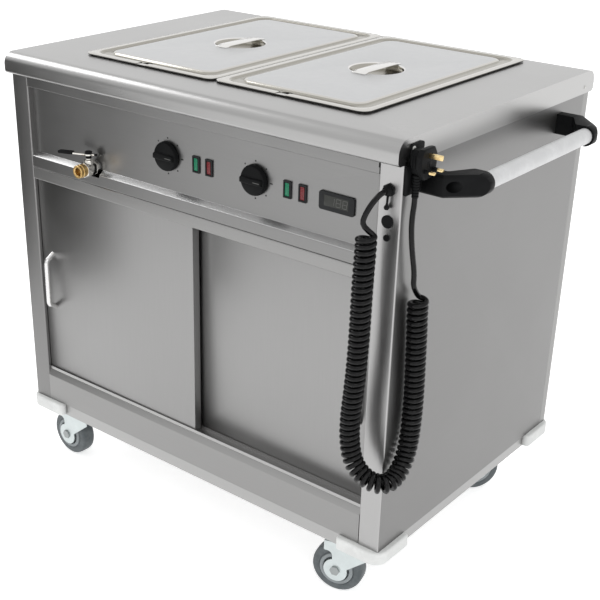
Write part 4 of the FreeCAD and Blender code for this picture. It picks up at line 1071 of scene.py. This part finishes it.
def makeTap(settings):
    x, z, hexagon = settings["place"], settings["height"], settings["hexagon"]
    back, seal, front = (at(x, settings[key], z) for key in (
        "barrelBack", "sealFront", "barrelFront"))
    stem = at(x, settings["stemPlace"], z)
    outlet = stoodAt(spunBody(settings["outlet"], 48, True), front, (0, -1, 0))
    finishPiece("tapBrassEnd", outlet, "trolley", "tapBrass", ("tap_outlet",))

    # from the panel: a collar, a neck, a hexagon, and the bonnet that holds the stem
    barrel = hexPrism(hexagon, settings["collar"], settings["collarSoft"])
    stoodAt(barrel, back, (0, -1, 0))
    length = settings["sealFront"] - settings["barrelFront"]
    joinInto(barrel, stoodAt(hexPrism(hexagon, length, settings["hexagonSoft"]), seal, (0, -1, 0)))
    addSpun(barrel, settings["neck"], 40, back - Vector((0, mm(settings["neckSet"]), 0)),
            (0, -1, 0))
    addSpun(barrel, settings["bonnet"], 36, stem, (0, 0, 1))
    finishPiece("tapBarrel", barrel, "trolley", "tapChrome", ("tap_body",))

    ring = spunBody(settings["seal"], 40, True)
    stoodAt(ring, seal + Vector((0, mm(settings["sealSet"]), 0)), (0, -1, 0))
    addSpun(ring, settings["packing"], 28, stem, (0, 0, 1))
    finishPiece("tapSealRing", ring, "trolley", "printedBlack")


def makeLever(tap, settings):
    place = Matrix.Translation(at(tap["place"], tap["stemPlace"], settings["height"]))
    turn = Matrix.Rotation(math.radians(settings["turn"]), 4, "Z")
    steel, dark = bmesh.new(), bmesh.new()
    for bm, key in ((steel, "bar"), (steel, "stopTab"), (dark, "sleeve"), (dark, "tip")):
        size, middle, soft, segments = settings[key]
        placedCube(bm, [mm(v) for v in size], [mm(v) for v in middle], soft, segments)
    joinInto(steel, spunBody(settings["eye"], 32))
    joinInto(steel, spunBody(settings["stem"], 24))
    nut = settings["nut"]
    prism = hexPrism(nut["width"], nut["height"], nut["soft"])
    bmesh.ops.translate(prism, vec=(0, 0, mm(nut["foot"])), verts=prism.verts)
    joinInto(dark, prism)
    for bm in (steel, dark):
        bmesh.ops.transform(bm, matrix=place @ turn, verts=bm.verts)
    finishPiece("tapLeverBar", steel, "tap_handle", "tapChrome", ("tap_lever",))
    finishPiece("tapLeverSleeve", dark, "tap_handle", "blackMoulding")


makeTap(tapSettings)
makeLever(tapSettings, leverSettings)
print("tap made")


castorSettings = {
    "places": ("front_left", "front_right", "rear_left", "rear_right"),
    # the axle's heads: how far round the axle they are looked for and painted, and how long
    "heads": {"search": 10.5, "reach": 10.2, "length": 3.9},
    "steps": 72,
    # radius and offset along the axle, in millimetres
    "tyre": ((32.6, -15.0), (34.6, -15.0), (35.4, -15.8), (42.6, -16.0), (46.4, -15.2),
             (48.8, -12.8), (49.7, -9.4), (50.0, -5.0)),
    "hub": ((6.1, -20.0), (13.0, -20.0), (13.0, -8.0), (15.0, -6.0), (24.0, -6.0), (25.6, -8.0),
            (26.0, -17.6), (27.2, -18.8), (31.6, -18.8), (32.8, -17.8), (33.0, -15.0)),
}


def axleOf(place):
    joint = next(j for j in frame["joints"] if j["name"] == "wheel_roll_" + place)
    return Vector(joint["pos_m"]), Vector(joint["axis"])


def makeWheel(place, settings):
    for name, finish in (("tyre", "tyreRubber"), ("hub", "hubPlastic")):
        profile = settings[name]
        both = list(profile) + [(r, -h) for r, h in reversed(profile)]
        bm = stoodAt(spunBody(both, settings["steps"], True), *axleOf(place))
        finishPiece(name + "_" + place, bm, "roller_" + place, finish,
                    ("castor_wheel_" + place,), 36)


def makeFork(place, settings):
    # the pressed fork, with its axle's heads in a duller plate
    fork = dressedNode("castor_fork_" + place, "swivel_" + place, "forkZinc",
                       "forkPressing_" + place, 0.5)
    centre, axle = axleOf(place)
    heads = settings["heads"]

    def alongAndOff(spot):
        along = (spot - centre).dot(axle)
        return abs(along), (spot - centre - axle * along).length

    spots = [alongAndOff(v.co) for v in fork.data.vertices]
    outer = max(along for along, off in spots if off < mm(heads["search"]))

    def onHead(face):
        along, off = alongAndOff(face.center)
        return along > outer - mm(heads["length"]) and off < mm(heads["reach"])

    secondFinish(fork, "axleZinc", onHead)


for place in castorSettings["places"]:
    makeWheel(place, castorSettings)
    makeFork(place, castorSettings)
print("castors made")


panSettings = {
    "lefts": {"left": 124.5, "right": 450.5}, "width": 325.0, "front": 75.0, "back": 605.0,
    "panLoops": (
        # inset, height, corner radius; from the rim's hanging edge to the floor
        (4.4, 900.3, 16.5), (4.2, 901.5, 16.6), (3.4, 901.9, 17.0), (1.0, 901.9, 17.6),
        (0.25, 902.2, 18.0), (0.0, 902.7, 18.0), (0.35, 903.15, 17.8), (1.2, 903.3, 17.0),
        (10.3, 903.3, 30.0), (11.6, 902.8, 31.0), (12.3, 901.4, 31.2), (12.5, 899.0, 31.2),
        (12.5, 771.0, 31.2), (13.8, 763.6, 31.0), (17.6, 757.4, 29.0), (23.6, 754.5, 26.0),
        (30.0, 754.3, 22.0),
    ),
    "lidLoops": (
        (0.3, 903.5, 18.0), (0.2, 904.0, 18.0), (0.9, 904.3, 17.4), (13.0, 904.3, 27.0),
        (14.4, 904.0, 27.0), (15.4, 902.9, 26.6), (16.2, 901.7, 26.2), (17.8, 901.3, 25.6),
        (30.5, 901.3, 23.0), (32.0, 901.9, 22.6), (33.4, 903.6, 22.2), (35.0, 904.9, 21.8),
        (37.6, 905.3, 21.0),
    ),
    "dish": ((52.0, 905.3), (50.6, 904.9), (49.4, 903.6), (47.6, 898.6), (46.2, 896.0),
             (43.6, 895.0), (30.0, 894.9)),
    # which of its finishes each band between those loops has
    "panFinishes": ("panSteel", "rimShade"),
    # on the pan the first six bands, its hanging edge, take the dark second finish, a painted shadow
    # under the lid's edge
    "panBands": (1, 1, 1, 1, 1, 1, 0, 0, 0, 0, 0, 0, 0, 0, 0, 0),
    "lidFinishes": ("lidSteel", "rimSteel", "edgeSteel", "grooveSteel"),
    # the lid's bands: painted highlight on the outer edge, painted warm reflection on the flat rim
    # and the crown's edge, painted shade down the groove
    "lidBands": (2, 1, 1, 3, 3, 3, 3, 3, 3, 3, 1, 1),
    # the dish's bands: painted highlight round its lip, painted shade on its wall and floor
    "dishBands": (2, 2, 3, 3, 3, 3), "dishFloor": 3,
    # the spoon notch in the lid's front rim
    "notch": {"start": -23.0, "end": -1.0, "depth": 28.0, "round": 6.0, "margin": 25.0},
    "sheet": 0.7, "corner": 9,
}


def makeLoops(bm, left, settings, rows):
    return [roundedLoop(bm, left + inset, left + settings["width"] - inset,
                        settings["front"] + inset, settings["back"] - inset,
                        height, radius, settings["corner"]) for inset, height, radius in rows]


def thicken(bm, sheet):
    # the shown skin faces up; its wall is added below it
    if max(bm.faces, key=lambda f: f.calc_area()).normal.z < 0:
        bmesh.ops.reverse_faces(bm, faces=bm.faces)
    bmesh.ops.solidify(bm, geom=list(bm.faces), thickness=mm(sheet))


def finishGastronorm(name, bm, body, names, node):
    # the first finish covers the piece, the others are for its bands
    piece = finishPiece(name, bm, body, names[0], (node,), 50)
    for finish in names[1:]:
        piece.data.materials.append(finishes[finish])


def makePan(side, settings):
    bm = bmesh.new()
    loops = makeLoops(bm, settings["lefts"][side], settings, settings["panLoops"])
    bridgeAll(bm, loops, settings["panBands"])
    bmesh.ops.contextual_create(bm, geom=loops[-1])
    bmesh.ops.recalc_face_normals(bm, faces=bm.faces)
    thicken(bm, settings["sheet"])
    finishGastronorm("gastroPan_" + side, bm, "gastro_pan_" + side, settings["panFinishes"],
                     "pan_" + side)


def cutNotch(bm, middle, settings):
    # cut lines first, then the faces between them go
    notch = settings["notch"]
    back, corner = settings["front"] + notch["depth"], notch["round"]
    left, right = middle + notch["start"], middle + notch["end"]
    lines = [((left, back, 0), (1, 0, 0)), ((right, back, 0), (1, 0, 0)),
             ((left, back, 0), (0, 1, 0)), ((left + corner, back, 0), (-1, 1, 0)),
             ((right - corner, back, 0), (1, 1, 0))]
    limit = at(0, back + notch["margin"], 0).y
    for place, way in lines:
        near = [f for f in bm.faces if f.calc_center_median().y < limit]
        geom = list({v for f in near for v in f.verts} | {e for f in near for e in f.edges}) + near
        bmesh.ops.bisect_plane(bm, geom=geom, dist=1e-7, plane_co=at(*place), plane_no=way)
    corners = [at(*place) for place, way in lines]
    gone = []
    for face in bm.faces:
        spot = face.calc_center_median()
        within = corners[0].x < spot.x < corners[1].x and spot.y < corners[2].y
        if within and all((spot - corners[i]).dot(Vector(lines[i][1])) < 0 for i in (3, 4)):
            gone.append(face)
    bmesh.ops.delete(bm, geom=gone, context="FACES")


def makeLid(side, settings):
    bm = bmesh.new()
    left = settings["lefts"][side]
    rim = makeLoops(bm, left, settings, settings["lidLoops"])
    centre = at(left + settings["width"] / 2, (settings["front"] + settings["back"]) / 2, 0)
    dish = []
    for radius, height in settings["dish"]:
        made = circleVerts(bm, radius, 4 * settings["corner"])
        bmesh.ops.translate(bm, verts=made, vec=centre + Vector((0, 0, mm(height))))
        dish.append(edgesOf(made))
    bridgeAll(bm, rim, settings["lidBands"])
    bridgeAll(bm, dish, settings["dishBands"])
    bmesh.ops.triangle_fill(bm, use_beauty=True, edges=rim[-1] + dish[0], normal=(0, 0, 1))
    for face in bmesh.ops.contextual_create(bm, geom=dish[-1])["faces"]:
        face.material_index = settings["dishFloor"]
    bmesh.ops.recalc_face_normals(bm, faces=bm.faces)
    cutNotch(bm, left + settings["width"] / 2, settings)
    thicken(bm, settings["sheet"])
    finishGastronorm("gastroLid_" + side, bm, "pan_cover_" + side, settings["lidFinishes"],
                     "lid_" + side)


for side in sides:
    makePan(side, panSettings)
    makeLid(side, panSettings)
print("pans and lids made")


# painted shade: a black block stands for the shade in the slit beside the post, at the end of the
# rail over the control panel
slitShadeSettings = {"low": (855.6, -0.15, 849.0), "high": (857.2, 0.6, 859.4)}
slitShade = bmesh.new()
addBlock(slitShade, slitShadeSettings["low"], slitShadeSettings["high"])
finishPiece("railEndSlitShade", slitShade, "trolley", "printedBlack")
print("details made")
